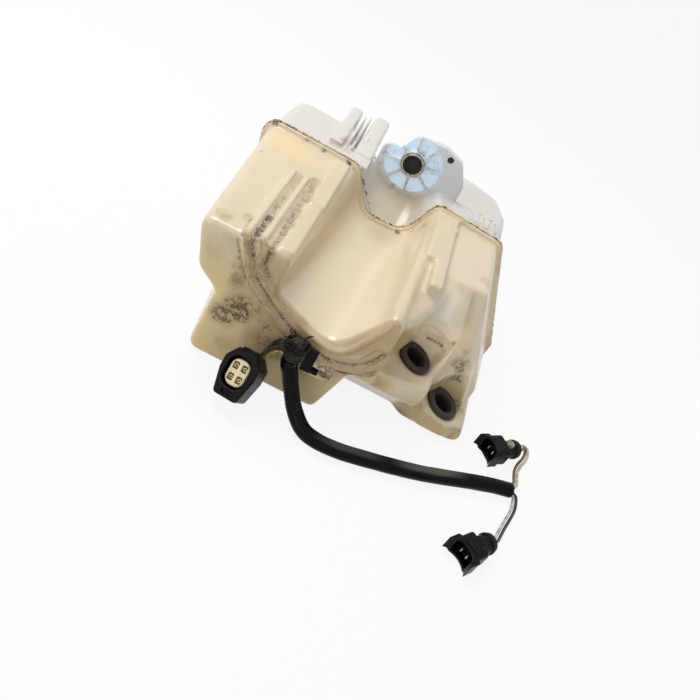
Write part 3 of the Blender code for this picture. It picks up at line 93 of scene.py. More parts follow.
# Dirt on the front shell: x, y, z, radius in millimetres, strength
FRONT_SPOTS = [
    (-99.6, -121.2, 98.7, 6, .5), (-106.7, -29.4, 102.3, 2.4, .8), (-94.5, -131, 81.8, 9, .28),
    (-85.7, -131, 90.3, 8, .28), (-79.2, -131, 77.2, 5, .5), (-75.4, -131, 68.5, 8, .6),
    (-67.6, -131, 50.3, 12, 1), (-75.8, -131, 40.1, 11, 1), (-66, -131, 17.4, 10, .4),
    (-36.1, -131, 40.9, 7, .6), (-34.3, -131, 29, 7, .6), (73.3, -38.5, 99.9, 7, .35),
    (59.1, -59.4, 97.2, 7, .35), (86.6, -69.3, 48.5, 8, .8), (99.9, -76.3, 19, 9, .7),
    (14.6, -133.4, 49.3, 9, .6), (25.1, -131, 50.2, 8, .6), (32.9, -122, 37.8, 8, .5),
    (64.6, -91.3, 1.9, 9, .7), (97.9, -92.1, 2.2, 10, .8), (61.7, -74, 45.3, 4, .8),
    (68.9, -84.8, 68.9, 4, .7), (88.5, -71.5, 37.8, 6, .8), (111.4, -37.2, 25.3, 6, .6),
    (-30, -131, 34, 9, .8), (-22, -134, 30, 9, .8), (-2, -135, 40, 8, .9), (5, -138, 36, 7, .8),
    (-45, -131, 36, 9, .6), (-18, -131, 44, 8, .8), (-5, -131, 42, 7, .6), (-48, -131, 46, 7, .7),
    (-56, -131, 55, 6, .6),
    (-114.4, 16.5, 106, 3.4, 1), (-87.8, 15.8, 104.6, 3, 1), (-72.6, 15.8, 104.4, 2.6, .9),
    (-53.3, 15.9, 104.8, 3, 1), (-47.4, 15.9, 104.6, 2.4, .9), (6.7, 15.2, 74.7, 3.4, .9),
    (14, 12.8, 81.8, 3.4, .9), (18.9, 4, 93.8, 3.4, .9),
]
# The groove between the two ribs on the front face, in millimetres
GROOVE = [(-73.5, -131, 92), (-71, -131, 88), (-66, -131, 78), (-53, -131, 67.5), (-36, -131, 56.5),
          (-21, -131, 49.5), (-5, -131, 47), (9, -131, 50), (19, -131, 57.5), (26.5, -131, 70)]
# Dirt that lies along a line: two ends, radius in millimetres, strength. It also fills the groove
FRONT_STREAKS = [
    ((-76, -70, 100), (-76, -104, 99.5), 3.4, .6), ((-76, -100, 100), (-76, -129, 98.5), 4.4, 1),
    ((-64, -84, 100.5), (-64, -129, 98.5), 3.4, .7), ((-84, -112, 99), (-83, -129, 98), 2.6, .7),
    ((-64.5, -129, 98.5), (-64.5, -131, 89), 3.4, .9), ((-64.5, -131, 89), (-58.5, -131, 80.5), 2.8, .7),
    ((-84, -130, 94), (-79, -131, 84), 2.4, .8), ((-79, -131, 84), (-72, -131, 74), 2.4, .8),
    ((-72, -131, 74), (-58, -131, 63), 2.2, .8), ((-58, -131, 63), (-36, -131, 50), 2.4, .8),
    ((-36, -131, 50), (-6, -131, 40.5), 3.0, 1), ((-6, -131, 40.5), (12, -131, 43), 3.4, 1),
    ((12, -131, 43), (24, -128, 46), 3.6, .8), ((54.9, -71.5, 57), (65.5, -75.3, 59), 2.4, .9),
    ((-76, -130, 96), (-73.5, -131, 92), 3.2, .8),
    *((start, end, 3.0, .8) for start, end in zip(GROOVE, GROOVE[1:])),
]
# Brown stains that lie along a line, in the same form
FRONT_STAINS = [
    ((-76, -34, 102), (-76, -129, 98.5), 4.6, .8), ((-64.5, -29, 102.5), (-63.5, -129, 98.7), 4.8, 1),
    ((-63.5, -129, 98.5), (-64.5, -131, 89), 4.6, 1), ((-64.5, -131, 89), (-59.8, -131, 82), 4.2, 1),
    ((-59.8, -131, 82), (-49.7, -131, 73.8), 3.8, .9), ((-49.7, -131, 73.8), (-38.8, -131, 68), 3.2, .8),
    ((-38.8, -131, 68), (-23.7, -131, 60.7), 3.0, .7), ((-86, -110, 99), (-80, -131, 84), 5.0, .7),
    ((-80, -131, 84), (-62, -131, 66), 5.0, .7), ((-62, -131, 66), (-36, -131, 50), 5.0, .7),
    ((-36, -131, 48), (12, -131, 42), 6.0, .9), ((-2, -134, 40), (5, -138, 38), 8.0, 1),
    ((-45, -131, 36), (-20, -131, 36), 12.0, .5), ((68, -79, 58), (66, -80, 44), 5.0, .5),
    ((72, -78, 48), (88, -66, 60), 4.0, .5), ((62, -72, 60), (52, -72, 62), 5.0, .4),
    ((96, -62, 44), (112, -8, 32), 3.0, .7), ((-69, -30, 102.5), (-69, -129, 98.5), 2.4, .5),
]
REAR_SPOTS = [(-87, 23, 104.6, 3, .6), (34, 30, 104, 4, .4), (78, 44, 100, 6, .4), (96, 34, 60, 9, .4),
              (-60, 132, 20, 12, .5), (40, 136, 30, 14, .4), (-112, 60, 30, 12, .5), (16, 100, 78, 12, .5)]
REAR_STREAKS = [((-38, 60, 77), (-38, 120, 77), 5, .6), ((23, 60, 77), (23, 120, 77), 5, .6)]
REAR_STAINS = [((-64, 44, 107), (-58, 60, 106), 5.0, .8), ((-58, 38, 104.5), (-70, 36, 104), 4.0, .6),
               ((47, 26, 105), (92, 26, 100), 5.0, .3)]


# Settings that a user would change

def size_setting(name, description, default, low, high):
    """A length that is given in millimetres and kept in metres."""
    return FloatProperty(name=name, description=description, default=default * MM, min=low * MM,
                         max=high * MM, unit="LENGTH", precision=4)


def colour_setting(name, description, *default):
    return FloatVectorProperty(name=name, description=description, default=default, size=3, subtype="COLOR")


class ReservoirTank(bpy.types.PropertyGroup):
    voxel: size_setting("Surface detail", "Size of the cells that the shells are remeshed with", 0.9, 0.5, 3)
    rounding: size_setting("Rounding", "Reach of the smoothing on the plain walls", 5.2, 0, 12)
    bowl: size_setting("Bowl", "Reach of the further smoothing inside the trough", 13, 0, 20)
    bead: size_setting("Weld bead", "Radius of the bead that closes the weld", 0.8, 0.2, 2)
    front: colour_setting("Front shell", "Colour of the aged front half", 0.69, 0.59, 0.425)
    # The lower walls' colour: partly aged plastic, partly painted shade on walls that don't face up
    front_low_aged_and_shaded: colour_setting("Front wall", "Colour of its dirty lower walls", 0.66, 0.515, 0.25)
    rear: colour_setting("Rear shell", "Colour of the whiter rear half", 0.655, 0.635, 0.605)
    # The trough's colour is painted light: it makes the trough's up-facing floor lighter
    trough: colour_setting("Trough", "Colour of the cleaner trough", 0.80, 0.69, 0.51)
    # The hub cells' colour is painted light: the blue-white of light shining through their thin floor
    cells: colour_setting("Hub cells", "Colour that shines through the hub's thin floor", 0.50, 0.66, 0.80)
    weld: colour_setting("Weld", "Colour of the browned weld", 0.60, 0.43, 0.24)
    dirt: colour_setting("Dirt", "Colour of road dirt", 0.045, 0.032, 0.02)


class ReservoirHarness(bpy.types.PropertyGroup):
    loom: size_setting("Conduit", "Diameter of the vinyl conduit", 11, 4, 20)
    wire: size_setting("Wire", "Diameter of one wire", 2.2, 1, 4)
    vinyl: colour_setting("Vinyl", "Colour of the conduit", 0.0025, 0.0025, 0.003)
    plastic: colour_setting("Plug plastic", "Colour of the plugs", 0.003, 0.003, 0.0034)
    cream: colour_setting("Insert", "Colour of the plug's insert", 0.78, 0.67, 0.45)


class ReservoirStage(bpy.types.PropertyGroup):
    floor: colour_setting("Floor", "Colour of the floor", 0.86, 0.86, 0.86)
    sky: FloatProperty(name="Sky", description="Strength of the even light from all round", default=0.58,
                       min=0, max=3)
    key: FloatProperty(name="Key lamp", description="Power of the big lamp overhead", default=5.0,
                       min=0, max=50, unit="POWER")
    fill: FloatProperty(name="Fill lamp", description="Power of the soft lamp in front", default=1.5,
                        min=0, max=50, unit="POWER")
    camera_at: FloatVectorProperty(name="Camera", description="Where the camera stands",
                                   subtype="TRANSLATION", size=3, default=(-0.030, -0.481, 0.3214))
    camera_aim: FloatVectorProperty(name="Aim", description="Direction in which the camera looks",
                                    subtype="DIRECTION", size=3, default=(0.0819, 0.7990, -0.5955))
    camera_up: FloatVectorProperty(name="Camera up", description="Direction of the picture's upper edge",
                                   subtype="DIRECTION", size=3, default=(-0.4591, 0.5606, 0.6889))
    lens: FloatProperty(name="Lens", description="Focal length in millimetres on a 36 mm sensor",
                        default=36, min=10, max=200)


# Shader maths

class Socket:
    """A socket in a material. Arithmetic on it adds the Math nodes that work it out."""

    def __init__(self, tree, socket):
        self.tree, self.socket = tree, socket

    def node(self, kind, settings=None, inputs=None, output=0):
        """Adds any node: its settings first, then the values or links of its sockets."""
        node = self.tree.nodes.new("ShaderNode" + kind)
        for key, value in (settings or {}).items():
            setattr(node, key, value)
        for key, value in (inputs or {}).items():
            target = node.inputs[key]
            if isinstance(value, Socket):
                self.tree.links.new(value.socket, target)
            elif hasattr(value, "__len__"):
                target.default_value = (*value, 1.0)[:len(target.default_value)]
            else:
                target.default_value = value
        return Socket(self.tree, node.outputs[output])

    def math(self, operation, *others):
        return self.node("Math", {"operation": operation}, dict(enumerate((self, *others))))

    def __add__(self, other):
        return self.math("ADD", other)

    def __sub__(self, other):
        return self.math("SUBTRACT", other)

    def __mul__(self, other):
        return self.math("MULTIPLY", other)

    def __rsub__(self, other):
        return self.node("Math", {"operation": "SUBTRACT"}, {0: other, 1: self})

    __radd__, __rmul__ = __add__, __mul__

    def over(self, other):
        """The larger of two masks."""
        return self.math("MAXIMUM", other)

    def ramp(self, low, high, top=1.0):
        """Zero at low, top at high, smooth between. Low may be the larger."""
        return self.node("MapRange", {"interpolation_type": "SMOOTHSTEP"},
                         {0: self, 1: low, 2: high, 3: 0.0, 4: top})

    def mix(self, first, second):
        """A colour between two, with this socket as the share of the second."""
        return self.node("Mix", {"data_type": "RGBA"}, {0: self, 6: first, 7: second}, 2)

    def vector(self, operation, other, output=0):
        return self.node("VectorMath", {"operation": operation}, {0: self, 1: other}, output)

    def noise(self, size, detail=3.0, roughness=0.55, stretch=None):
        """Noise with features of about this size, between 0 and 1."""
        where = self if stretch is None else self.node("Mapping", {}, {0: self, 3: stretch})
        return where.node("TexNoise", {}, {"Vector": where, "Scale": 1 / size, "Detail": detail,
                                           "Roughness": roughness})

    def axes(self):
        parts = self.node("SeparateXYZ", {}, {0: self})
        outputs = parts.socket.node.outputs
        return [Socket(self.tree, outputs[index]) for index in range(3)]

    def near(self, place, radius, strength=1.0):
        """A soft round mask about a point given in millimetres."""
        away = self.vector("DISTANCE", [value * MM for value in place], 1)
        return away.ramp(radius * MM, radius * 0.3 * MM, strength)

    def along(self, start, end, radius, strength=1.0):
        """A soft mask about a straight line between two points in millimetres."""
        start, end = Vector(start) * MM, Vector(end) * MM
        line = end - start
        offset = self.vector("SUBTRACT", start)
        share = offset.node("Clamp", {}, {0: offset.vector("DOT_PRODUCT", line / line.length_squared, 1)})
        foot = offset.node("VectorMath", {"operation": "SCALE"}, {0: tuple(line), 3: share})
        return offset.vector("DISTANCE", foot, 1).ramp(radius * MM, radius * 0.25 * MM, strength)


def new_material(name, roughness=0.5, metallic=0.0, **settings):
    """A Principled material; returns its Object coordinates and a function that links its sockets."""
    material = bpy.data.materials.new(name)
    material.use_nodes = True
    tree = material.node_tree
    shader = tree.nodes["Principled BSDF"]
    shader.inputs["Roughness"].default_value = roughness
    shader.inputs["Metallic"].default_value = metallic
    for key, value in settings.items():
        shader.inputs[key.replace("_", " ").title().replace("Ior", "IOR")].default_value = value
    at = Socket(tree, tree.nodes.new("ShaderNodeTexCoord").outputs["Object"])

    def feed(**links):
        for key, value in links.items():
            target = shader.inputs[key.replace("_", " ").title()]
            if isinstance(value, Socket):
                tree.links.new(value.socket, target)
            else:
                target.default_value = value

    return material, at, feed


def bumped(height, strength, distance):
    return height.node("Bump", {}, {"Strength": strength, "Distance": distance, "Height": height})


def crevice(at, distance):
    """How closed in a place is, from 0 in the open to 1 in a corner."""
    occlusion = at.node("AmbientOcclusion", {"samples": 8, "only_local": True}, {"Distance": distance}, 1)
    return 1 - occlusion


def facing(at, axis):
    """How far the surface faces along an axis, from -1 to 1."""
    return at.node("NewGeometry", {}, {}, 1).axes()[axis]


def facing_up(at):
    return facing(at, 2)


def front_tone(at, loose, wall, tone, settings):
    """The front shell's colours with its painted light and shade, and the colour of the painted glow that
    stands for light through its pump bay.

    Painted light and shade: a lighter trough floor, a darker steep left wall and far end, a warm glow and a
    cool patch on top, and a paler pump bay. The lip over the ribs is browned.
    """
    x, y, z = at.axes()
    up = facing_up(at)
    # Painted light: a warm orange glow in the top-left corner by the flange
    glow = at.near((-95.8, -1.9, 103.4), 24).over(at.near((-84, -7.6, 103.2), 20))
    tone = (glow * 0.5).mix(tone, (0.86, 0.60, 0.30))
    # Painted light: a cool pale patch where light falls right of the trough
    tone = (at.near((50, -75, 88), 22) * 0.6).mix(tone, (0.64, 0.66, 0.62))
    # Painted light and shade: the trough's up-facing floor is made lighter and its steep left wall darker
    deep = x.ramp(-30 * MM, -46 * MM) * z.ramp(97 * MM, 88 * MM) * up.ramp(0.85, 0.45)
    side = x.ramp(-70 * MM, -60 * MM) * x.ramp(28 * MM, 16 * MM) * up.ramp(0.1, 0.5)
    tone = (side * z.ramp(92 * MM, 80 * MM) * 0.85).mix(tone, tuple(settings.trough))
    tone = (deep * x.ramp(-62 * MM, -56 * MM) * 0.75).mix(tone, (0.52, 0.40, 0.25))
    # Painted shade: the trough's far end by the seam is darker and browner
    tone = (at.near((-5, 10, 62), 28) * 0.8).mix(tone, (0.60, 0.48, 0.31))
    # Painted light: the pump bay is made paler, most where the lower walls take painted shade
    bay = x.ramp(38 * MM, 48 * MM) * z.ramp(26 * MM, 40 * MM)
    tone = (bay * (0.35 + wall * 0.6)).mix(tone, (0.82, 0.71, 0.53))
    lip = y.ramp(-126 * MM, -129 * MM) * z.ramp(44 * MM, 50 * MM) * x.ramp(-82 * MM, -74 * MM)
    tone = (lip * x.ramp(32 * MM, 24 * MM) * 0.55).mix(tone, (0.40, 0.27, 0.135))
    # Painted glow that stands for light through the pump bay's thin wall
    lit = (loose.near((64, -75, 62), 26) * 0.9).mix((0.0, 0.0, 0.0), (0.48, 0.38, 0.27))
    return tone, lit


def rear_tone(at, loose, mottle, tone, settings):
    """The rear shell's colours with its painted light, and the colour of the painted glow that stands for
    light through its hub.

    The hub's thin cells are painted blue-white and its plate bluish as light shining through them; the cells
    are sooty, and algae grows by the seam.
    """
    _, y, z = at.axes()
    away = at.vector("MULTIPLY", (1, 0, 1)).vector("DISTANCE", (HUB_X, 0, HUB_Z), 1)
    front = facing(at, 1).ramp(0.1, -0.4)
    # Painted light: the thin cells' blue-white colour and glow stand for light shining through them
    cells = away.ramp(27 * MM, 24 * MM) * y.ramp(48.6 * MM, 50.5 * MM) * y.ramp(62 * MM, 60 * MM) * front
    tone = (cells * 0.9).mix(tone, tuple(settings.cells))
    lit = cells.mix((0.0, 0.0, 0.0), (0.62, 0.80, 1.0))
    # Painted light: the hub plate's bluish colour and glow
    plate = away.ramp(46 * MM, 36 * MM) * y.ramp(44 * MM, 46 * MM) * y.ramp(52 * MM, 49 * MM)
    plate = plate * z.ramp(96 * MM, 110 * MM) * front
    tone = (plate * 0.7).mix(tone, (0.62, 0.67, 0.72))
    lit = (plate * 0.5).mix(lit, (0.30, 0.38, 0.46))
    under = at.near((-2, 38, 80), 34) * z.ramp(100 * MM, 90 * MM)
    tone = (under * 0.85).mix(tone, (0.54, 0.46, 0.33))
    soot = away.ramp(28 * MM, 25 * MM) * y.ramp(45 * MM, 46.5 * MM) * y.ramp(62 * MM, 60 * MM)
    core = away.ramp(17 * MM, 10 * MM) * 0.5 + at.noise(6 * MM, 3, 0.6).ramp(0.50, 0.62) * 0.4
    tone = (soot * core * mottle.ramp(0.40, 0.62)).mix(tone, (0.16, 0.14, 0.12))
    algae = loose.along((46, 21, 106), (98, 23, 101), 7)
    algae = algae.over(loose.along((50, 32, 105), (76, 36, 103), 8) * 0.5)
    tone = (algae * mottle.ramp(0.25, 0.55) * 0.7).mix(tone, (0.33, 0.37, 0.17))
    return tone, lit


def dirt_masks(at, loose, caught, spots, streaks, stains):
    """Where dirt lies, beside what the seam has caught, and where that or an old stain is brown."""
    marks = caught
    for x, y, z, radius, strength in spots:
        marks = marks.over(loose.near((x, y, z), radius * 1.25, strength))
    for start, end, radius, strength in streaks:
        marks = marks.over(at.along(start, end, radius, strength))
    brown = marks * 0.8
    for start, end, radius, strength in stains:
        brown = brown.over(loose.along(start, end, radius, strength))
    return marks, brown


def tank_material(name, colour, low_colour, dirt_places, settings):
    """Aged translucent polypropylene: yellower low walls (ageing and painted shade), dirt and painted shade
    in corners, road dirt spots, a painted glow for light through thin places.
    """
    material, at, feed = new_material(name, 0.3, subsurface_weight=0.18, subsurface_radius=(1.0, 0.66, 0.42),
                                      subsurface_scale=0.006, emission_strength=THROUGH_LIGHT)
    _, y, z = at.axes()
    cloud = at.noise(38 * MM, 3)
    mottle = at.noise(5 * MM, 4, 0.6)
    sway = at.node("TexNoise", {}, {"Vector": at, "Scale": 1 / (9 * MM), "Detail": 3.0}, 1)
    sway = sway.vector("SUBTRACT", (0.5, 0.5, 0.5))
    loose = at.vector("ADD", sway.node("VectorMath", {"operation": "SCALE"}, {0: sway, 3: 11 * MM}))
    up = facing_up(at)
    # Partly painted shade: lower walls that don't face up take the darker, yellower low colour, partly ageing
    # and partly shade
    wall = (z + (cloud - 0.5) * (30 * MM)).ramp(98 * MM, 74 * MM) * up.ramp(0.62, 0.1)
    tone = wall.mix(colour, low_colour)
    tone = (cloud.ramp(0.38, 0.72) * 0.35).mix(tone, [c * t for c, t in zip(colour, (0.93, 0.88, 0.78))])
    tone = (mottle.ramp(0.45, 0.75) * 0.10).mix(tone, (0.50, 0.40, 0.24))
    if name == "front_polypropylene":
        tone, lit = front_tone(at, loose, wall, tone, settings)
    else:
        tone, lit = rear_tone(at, loose, mottle, tone, settings)
    # Dirt and painted shade darken the corners
    corner_grime_and_shade = crevice(at, 5 * MM).ramp(0.3, 0.9) * mottle.ramp(0.2, 0.7) * 0.45
    tone = corner_grime_and_shade.mix(tone, (0.24, 0.175, 0.10))
    seam = (y - SEAM_Y).math("ABSOLUTE").ramp(3.6 * MM, 2.4 * MM)
    tone = (seam * cloud.ramp(0.35, 0.6) * 0.4).mix(tone, tuple(settings.weld))
    caught = at.noise(3.0 * MM, 3, 0.6).ramp(0.56, 0.64) * seam * cloud.ramp(0.36, 0.5)
    marks, brown = dirt_masks(at, loose, caught, *dirt_places)
    stain = brown * (mottle.ramp(0.30, 0.62) * 0.5 + 0.28)
    tone = stain.mix(tone, (0.31, 0.21, 0.115))
    vein = (loose.noise(5.5 * MM, 4, 0.6) - 0.5).math("ABSOLUTE").ramp(0.045, 0.012)
    dark = (vein.over(at.noise(2.2 * MM, 4, 0.7).ramp(0.55, 0.66)) * marks.ramp(0.2, 0.95)).over(
        marks.ramp(0.7, 1.0) * mottle.ramp(0.42, 0.6) * 0.8)
    specks = at.noise(1.4 * MM, 2, 0.5).ramp(0.76, 0.80) * cloud.ramp(0.5, 0.66) * 0.3
    dark = dark.over(specks * up.ramp(-0.2, 0.4))
    tone = (dark * 0.9).mix(tone, tuple(settings.dirt))
    # Painted glow: light given off by the pump bay and hub stands for light through the thin plastic; dirt
    # and stains block it
    feed(emission_color=(1 - dark.over(stain)).mix((0.0, 0.0, 0.0), lit))
    feed(base_color=tone, roughness=0.15 + mottle * 0.09 + dark * 0.4 + stain * 0.3,
         normal=bumped(mottle * 0.25 + cloud * 2.0, 0.15, 0.5 * MM))
    return material


def rib_material(settings):
    """The double rib: the front shell's plastic, lighter along the top and brown at its foot from dirt and
    painted shade.
    """
    material, at, feed = new_material("rib_polypropylene", 0.26, subsurface_weight=0.3,
                                      subsurface_radius=(1.0, 0.66, 0.42), subsurface_scale=0.004)
    x, y, _ = at.axes()
    mottle = at.noise(4 * MM, 4, 0.6)
    face = y.ramp(-122 * MM, -131 * MM)
    tone = face.mix(tuple(settings.front), (0.50, 0.36, 0.20))
    left = x.ramp(-20 * MM, -50 * MM) * face
    tone = (left * mottle.ramp(0.35, 0.65) * 0.7).mix(tone, (0.26, 0.18, 0.10))
    # Dirt and painted shade at the rib's foot
    foot = crevice(at, 4 * MM).ramp(0.25, 0.8) * mottle.ramp(0.2, 0.6)
    tone = (foot * 0.8).mix(tone, (0.20, 0.14, 0.08))
    tone = (mottle.ramp(0.55, 0.75) * 0.3).mix(tone, (0.38, 0.28, 0.16))
    feed(base_color=tone, roughness=0.22 + mottle * 0.15, normal=bumped(mottle, 0.2, 0.3 * MM))
    return material


def weld_material(settings):
    """Browned weld with black dirt caught along it."""
    material, at, feed = new_material("weld_polypropylene", 0.42, subsurface_weight=0.2,
                                      subsurface_radius=(1.0, 0.6, 0.35), subsurface_scale=0.004)
    mottle = at.noise(4 * MM, 4, 0.65)
    tone = at.noise(16 * MM, 3, 0.6).ramp(0.42, 0.66).mix((0.70, 0.59, 0.43), tuple(settings.weld))
    dirt = (at.noise(2.6 * MM, 3, 0.6).ramp(0.52, 0.57) * at.noise(15 * MM, 2, 0.6).ramp(0.36, 0.54))
    tone = (dirt * 0.9).mix(tone, tuple(settings.dirt))
    feed(base_color=tone, roughness=0.36 + dirt * 0.35, normal=bumped(mottle, 0.4, 0.4 * MM))
    return material


def dark_material(name, colour, roughness, worn=0.5, dust=0.3, sheen_spots=()):
    """Black moulded plastic, rubber or vinyl, greyed along its edges and with dust on top; the sheen spots
    paint grey strips on top, a painted highlight.
    """
    material, at, feed = new_material(name, roughness, specular_ior_level=0.09)
    fine = at.noise(0.9 * MM, 4, 0.6)
    broad = at.noise(7 * MM, 4, 0.6)
    edge = at.node("NewGeometry", {}, {}, 7).ramp(0.505, 0.545)
    tone = (edge * broad.ramp(0.3, 0.6) * worn).mix(colour, (0.07, 0.062, 0.055))
    film = facing_up(at).ramp(0.1, 0.95) * broad.ramp(0.34, 0.72) * dust
    # Painted highlight: a grey strip on top at each sheen spot
    for place in sheen_spots:
        film = film.over(at.near(place[:3], place[3], place[4]) * facing_up(at).ramp(0.72, 0.97))
    tone = film.mix(tone, (0.10, 0.09, 0.078))
    feed(base_color=tone, roughness=(roughness - 0.06) + fine * 0.14 + film * 0.35,
         normal=bumped(fine + broad * 1.5, 0.25, 0.25 * MM))
    return material


def tape_material():
    """Black cloth tape: a fine crossed weave under dust and dried road dirt."""
    material, at, feed = new_material("cloth_tape", 0.7, specular_ior_level=0.2)
    weave = at.node("TexWave", {"wave_type": "BANDS", "bands_direction": "Z"},
                    {"Vector": at, "Scale": 420, "Distortion": 1.2})
    broad = at.noise(5 * MM, 4, 0.6)
    tone = broad.ramp(0.35, 0.75).mix((0.006, 0.006, 0.005), (0.05, 0.042, 0.032))
    tone = (at.noise(1.6 * MM, 3).ramp(0.62, 0.70) * 0.5).mix(tone, (0.26, 0.22, 0.16))
    feed(base_color=tone, roughness=0.5 + broad * 0.35,
         normal=bumped(weave * 0.4 + broad * 2, 0.45, 0.4 * MM))
    return material


def cream_material(settings):
    """Cream moulded plastic with brown dust and painted shade in its corners."""
    material, at, feed = new_material("cream_moulding", 0.42, subsurface_weight=0.15,
                                      subsurface_radius=(1.0, 0.7, 0.4), subsurface_scale=0.002)
    broad = at.noise(3 * MM, 4, 0.6)
    # Dust and painted shade in the corners
    tone = (crevice(at, 2 * MM).ramp(0.3, 0.8) * 0.8).mix(tuple(settings.cream), (0.13, 0.09, 0.05))
    tone = (broad.ramp(0.48, 0.75) * 0.45).mix(tone, (0.42, 0.33, 0.2))
    feed(base_color=tone, roughness=0.36 + broad * 0.2, normal=bumped(broad, 0.2, 0.2 * MM))
    return material


def lock_disc_material():
    """Greyed cream disc under a film of dust."""
    material, at, feed = new_material("lock_disc_moulding", 0.5)
    broad = at.noise(2 * MM, 4, 0.6)
    tone = broad.ramp(0.35, 0.7).mix((0.36, 0.32, 0.24), (0.20, 0.17, 0.13))
    feed(base_color=tone, roughness=0.45 + broad * 0.2, normal=bumped(broad, 0.2, 0.2 * MM))
    return material


def metal_material(name, colour, tarnish, roughness):
    """Plain rolled steel or brass, dulled in patches."""
    material, at, feed = new_material(name, roughness, 1.0)
    broad = at.noise(2.4 * MM, 4, 0.6)
    brushed = at.noise(0.5 * MM, 2, 0.5, (1, 0.08, 1))
    tone = broad.ramp(0.42, 0.72).mix(colour, tarnish)
    feed(base_color=tone, roughness=(roughness - 0.08) + broad * 0.25 + brushed * 0.1,
         metallic=1 - broad.ramp(0.6, 0.8) * 0.5, normal=bumped(brushed, 0.15, 0.1 * MM))
    return material


def wire_material(name, colour):
    """Wire insulation with dirt rubbed into it."""
    material, at, feed = new_material(name, 0.42)
    broad = at.noise(4 * MM, 4, 0.65)
    tone = (broad.ramp(0.42, 0.72) * 0.6).mix(colour, (0.07, 0.055, 0.04))
    feed(base_color=tone, roughness=0.34 + broad * 0.25, normal=bumped(broad, 0.15, 0.2 * MM))
    return material


# Surfaces

def placed(name, data):
    """A new object in the scene, at the origin."""
    item = bpy.data.objects.new(name, data)
    bpy.context.scene.collection.objects.link(item)
    return item


def surface(name, rows, closed_along=False, caps=True):
    """A mesh over a grid of points: row i is a closed ring, and rings are joined in order.

    Point (i, j) is joined with (i, j + 1), (i + 1, j + 1) and (i + 1, j). An end ring is closed by a
    fan to its middle unless the rings themselves close on each other.
    """
    count, sides = rows.shape[:2]
    index = np.arange(count * sides).reshape(count, sides)
    upper = np.roll(index, -1, axis=0) if closed_along else index[1:]
    lower = index if closed_along else index[:-1]
    quads = np.stack([lower, np.roll(lower, -1, axis=1), np.roll(upper, -1, axis=1), upper], axis=-1)
    faces = quads.reshape(-1, 4).tolist()
    points = rows.reshape(-1, 3)
    if caps and not closed_along:
        points = np.vstack([points, rows[0].mean(axis=0), rows[-1].mean(axis=0)])
        for ring, middle, order in ((index[0], count * sides, -1), (index[-1], count * sides + 1, 1)):
            turn = ring[::order]
            fan = np.stack([turn, np.roll(turn, -1), np.full(sides, middle)], axis=-1)
            faces += fan.tolist()
    mesh = bpy.data.meshes.new(name)
    mesh.from_pydata(points.tolist(), [], faces)
    return outward(name, mesh)


def outward(name, mesh):
    """Turns every face outwards, shades it smoothly and puts the mesh in an object."""
    work = bmesh.new()
    work.from_mesh(mesh)
    bmesh.ops.remove_doubles(work, verts=work.verts, dist=1e-7)
    bmesh.ops.recalc_face_normals(work, faces=work.faces)
    work.to_mesh(mesh)
    work.free()
    mesh.shade_smooth()
    mesh.set_sharp_from_angle(angle=math.radians(50))
    return placed(name, mesh)


def distance_along(path):
    """How far each point of a path is from its start, measured along it."""
    return np.concatenate([[0], np.cumsum(np.linalg.norm(np.diff(path, axis=0), axis=1))])


def smooth_path(points, count):
    """Points read evenly from a Catmull-Rom curve through the given ones.

    Between p1 and p2 the curve is half of 2 p1 + (p2 - p0) t + (2 p0 - 5 p1 + 4 p2 - p3) t^2
    + (3 p1 - p0 - 3 p2 + p3) t^3.
    """
    points = np.array(points, dtype=float)
    ends = np.vstack([2 * points[0] - points[1], points, 2 * points[-1] - points[-2]])
    p0, p1, p2, p3 = (ends[k:len(ends) - 3 + k][:, None, :] for k in range(4))
    t = np.linspace(0, 1, 24, endpoint=False)[None, :, None]
    fine = 0.5 * (2 * p1 + (p2 - p0) * t + (2 * p0 - 5 * p1 + 4 * p2 - p3) * t ** 2
                  + (3 * p1 - p0 - 3 * p2 + p3) * t ** 3)
    fine = np.vstack([fine.reshape(-1, 3), points[-1:]])
    along = distance_along(fine)
    wanted = np.linspace(0, along[-1], count)
    return np.stack([np.interp(wanted, along, fine[:, axis]) for axis in range(3)], axis=1)


def path_axes(path, guide):
    """At each point of a path, two directions square to it.

    The first is direction x guide, the second direction x first, both made one long.
    """
    slope = np.gradient(path, axis=0)
    slope /= np.linalg.norm(slope, axis=1)[:, None]
    first = np.cross(slope, np.broadcast_to(guide, slope.shape))
    first /= np.linalg.norm(first, axis=1)[:, None]
    return first, np.cross(slope, first)


def tube(name, path, radius, sides=16, guide=(0.0, 1.0, 0.0), squash=None):
    """A tube: the point at angle a is path + radius (first cos a + squash second sin a).

    Radius is a number or an array with a value for each point of the path and each side.
    """
    path = np.array(path, dtype=float)
    first, second = path_axes(path, guide)
    angle = np.linspace(0, 2 * math.pi, sides, endpoint=False)
    spread = np.broadcast_to(np.asarray(radius, dtype=float), (len(path), sides))[..., None]
    flat = np.ones(len(path)) if squash is None else squash
    ring = (first[:, None] * np.cos(angle)[None, :, None]
            + second[:, None] * (np.sin(angle)[None, :] * flat[:, None])[..., None])
    return surface(name, path[:, None] + spread * ring)


def revolved(name, profile, place, steps=96, closed=True):
    """A profile of (radius, height) in metres turned about the frame's Z.

    The point at angle a is (radius cos a, radius sin a, height). A closed profile makes a ring, and an
    open one starts and ends on the axis.
    """
    profile = np.array(profile, dtype=float)
    angle = np.linspace(0, 2 * math.pi, steps, endpoint=False)
    rows = np.stack([profile[:, :1] * np.cos(angle), profile[:, :1] * np.sin(angle),
                     np.repeat(profile[:, 1:], steps, axis=1)], axis=-1)
    turn = np.array(place)
    rows = rows @ turn[:3, :3].T + turn[:3, 3]
    return surface(name, rows, closed_along=closed, caps=not closed)


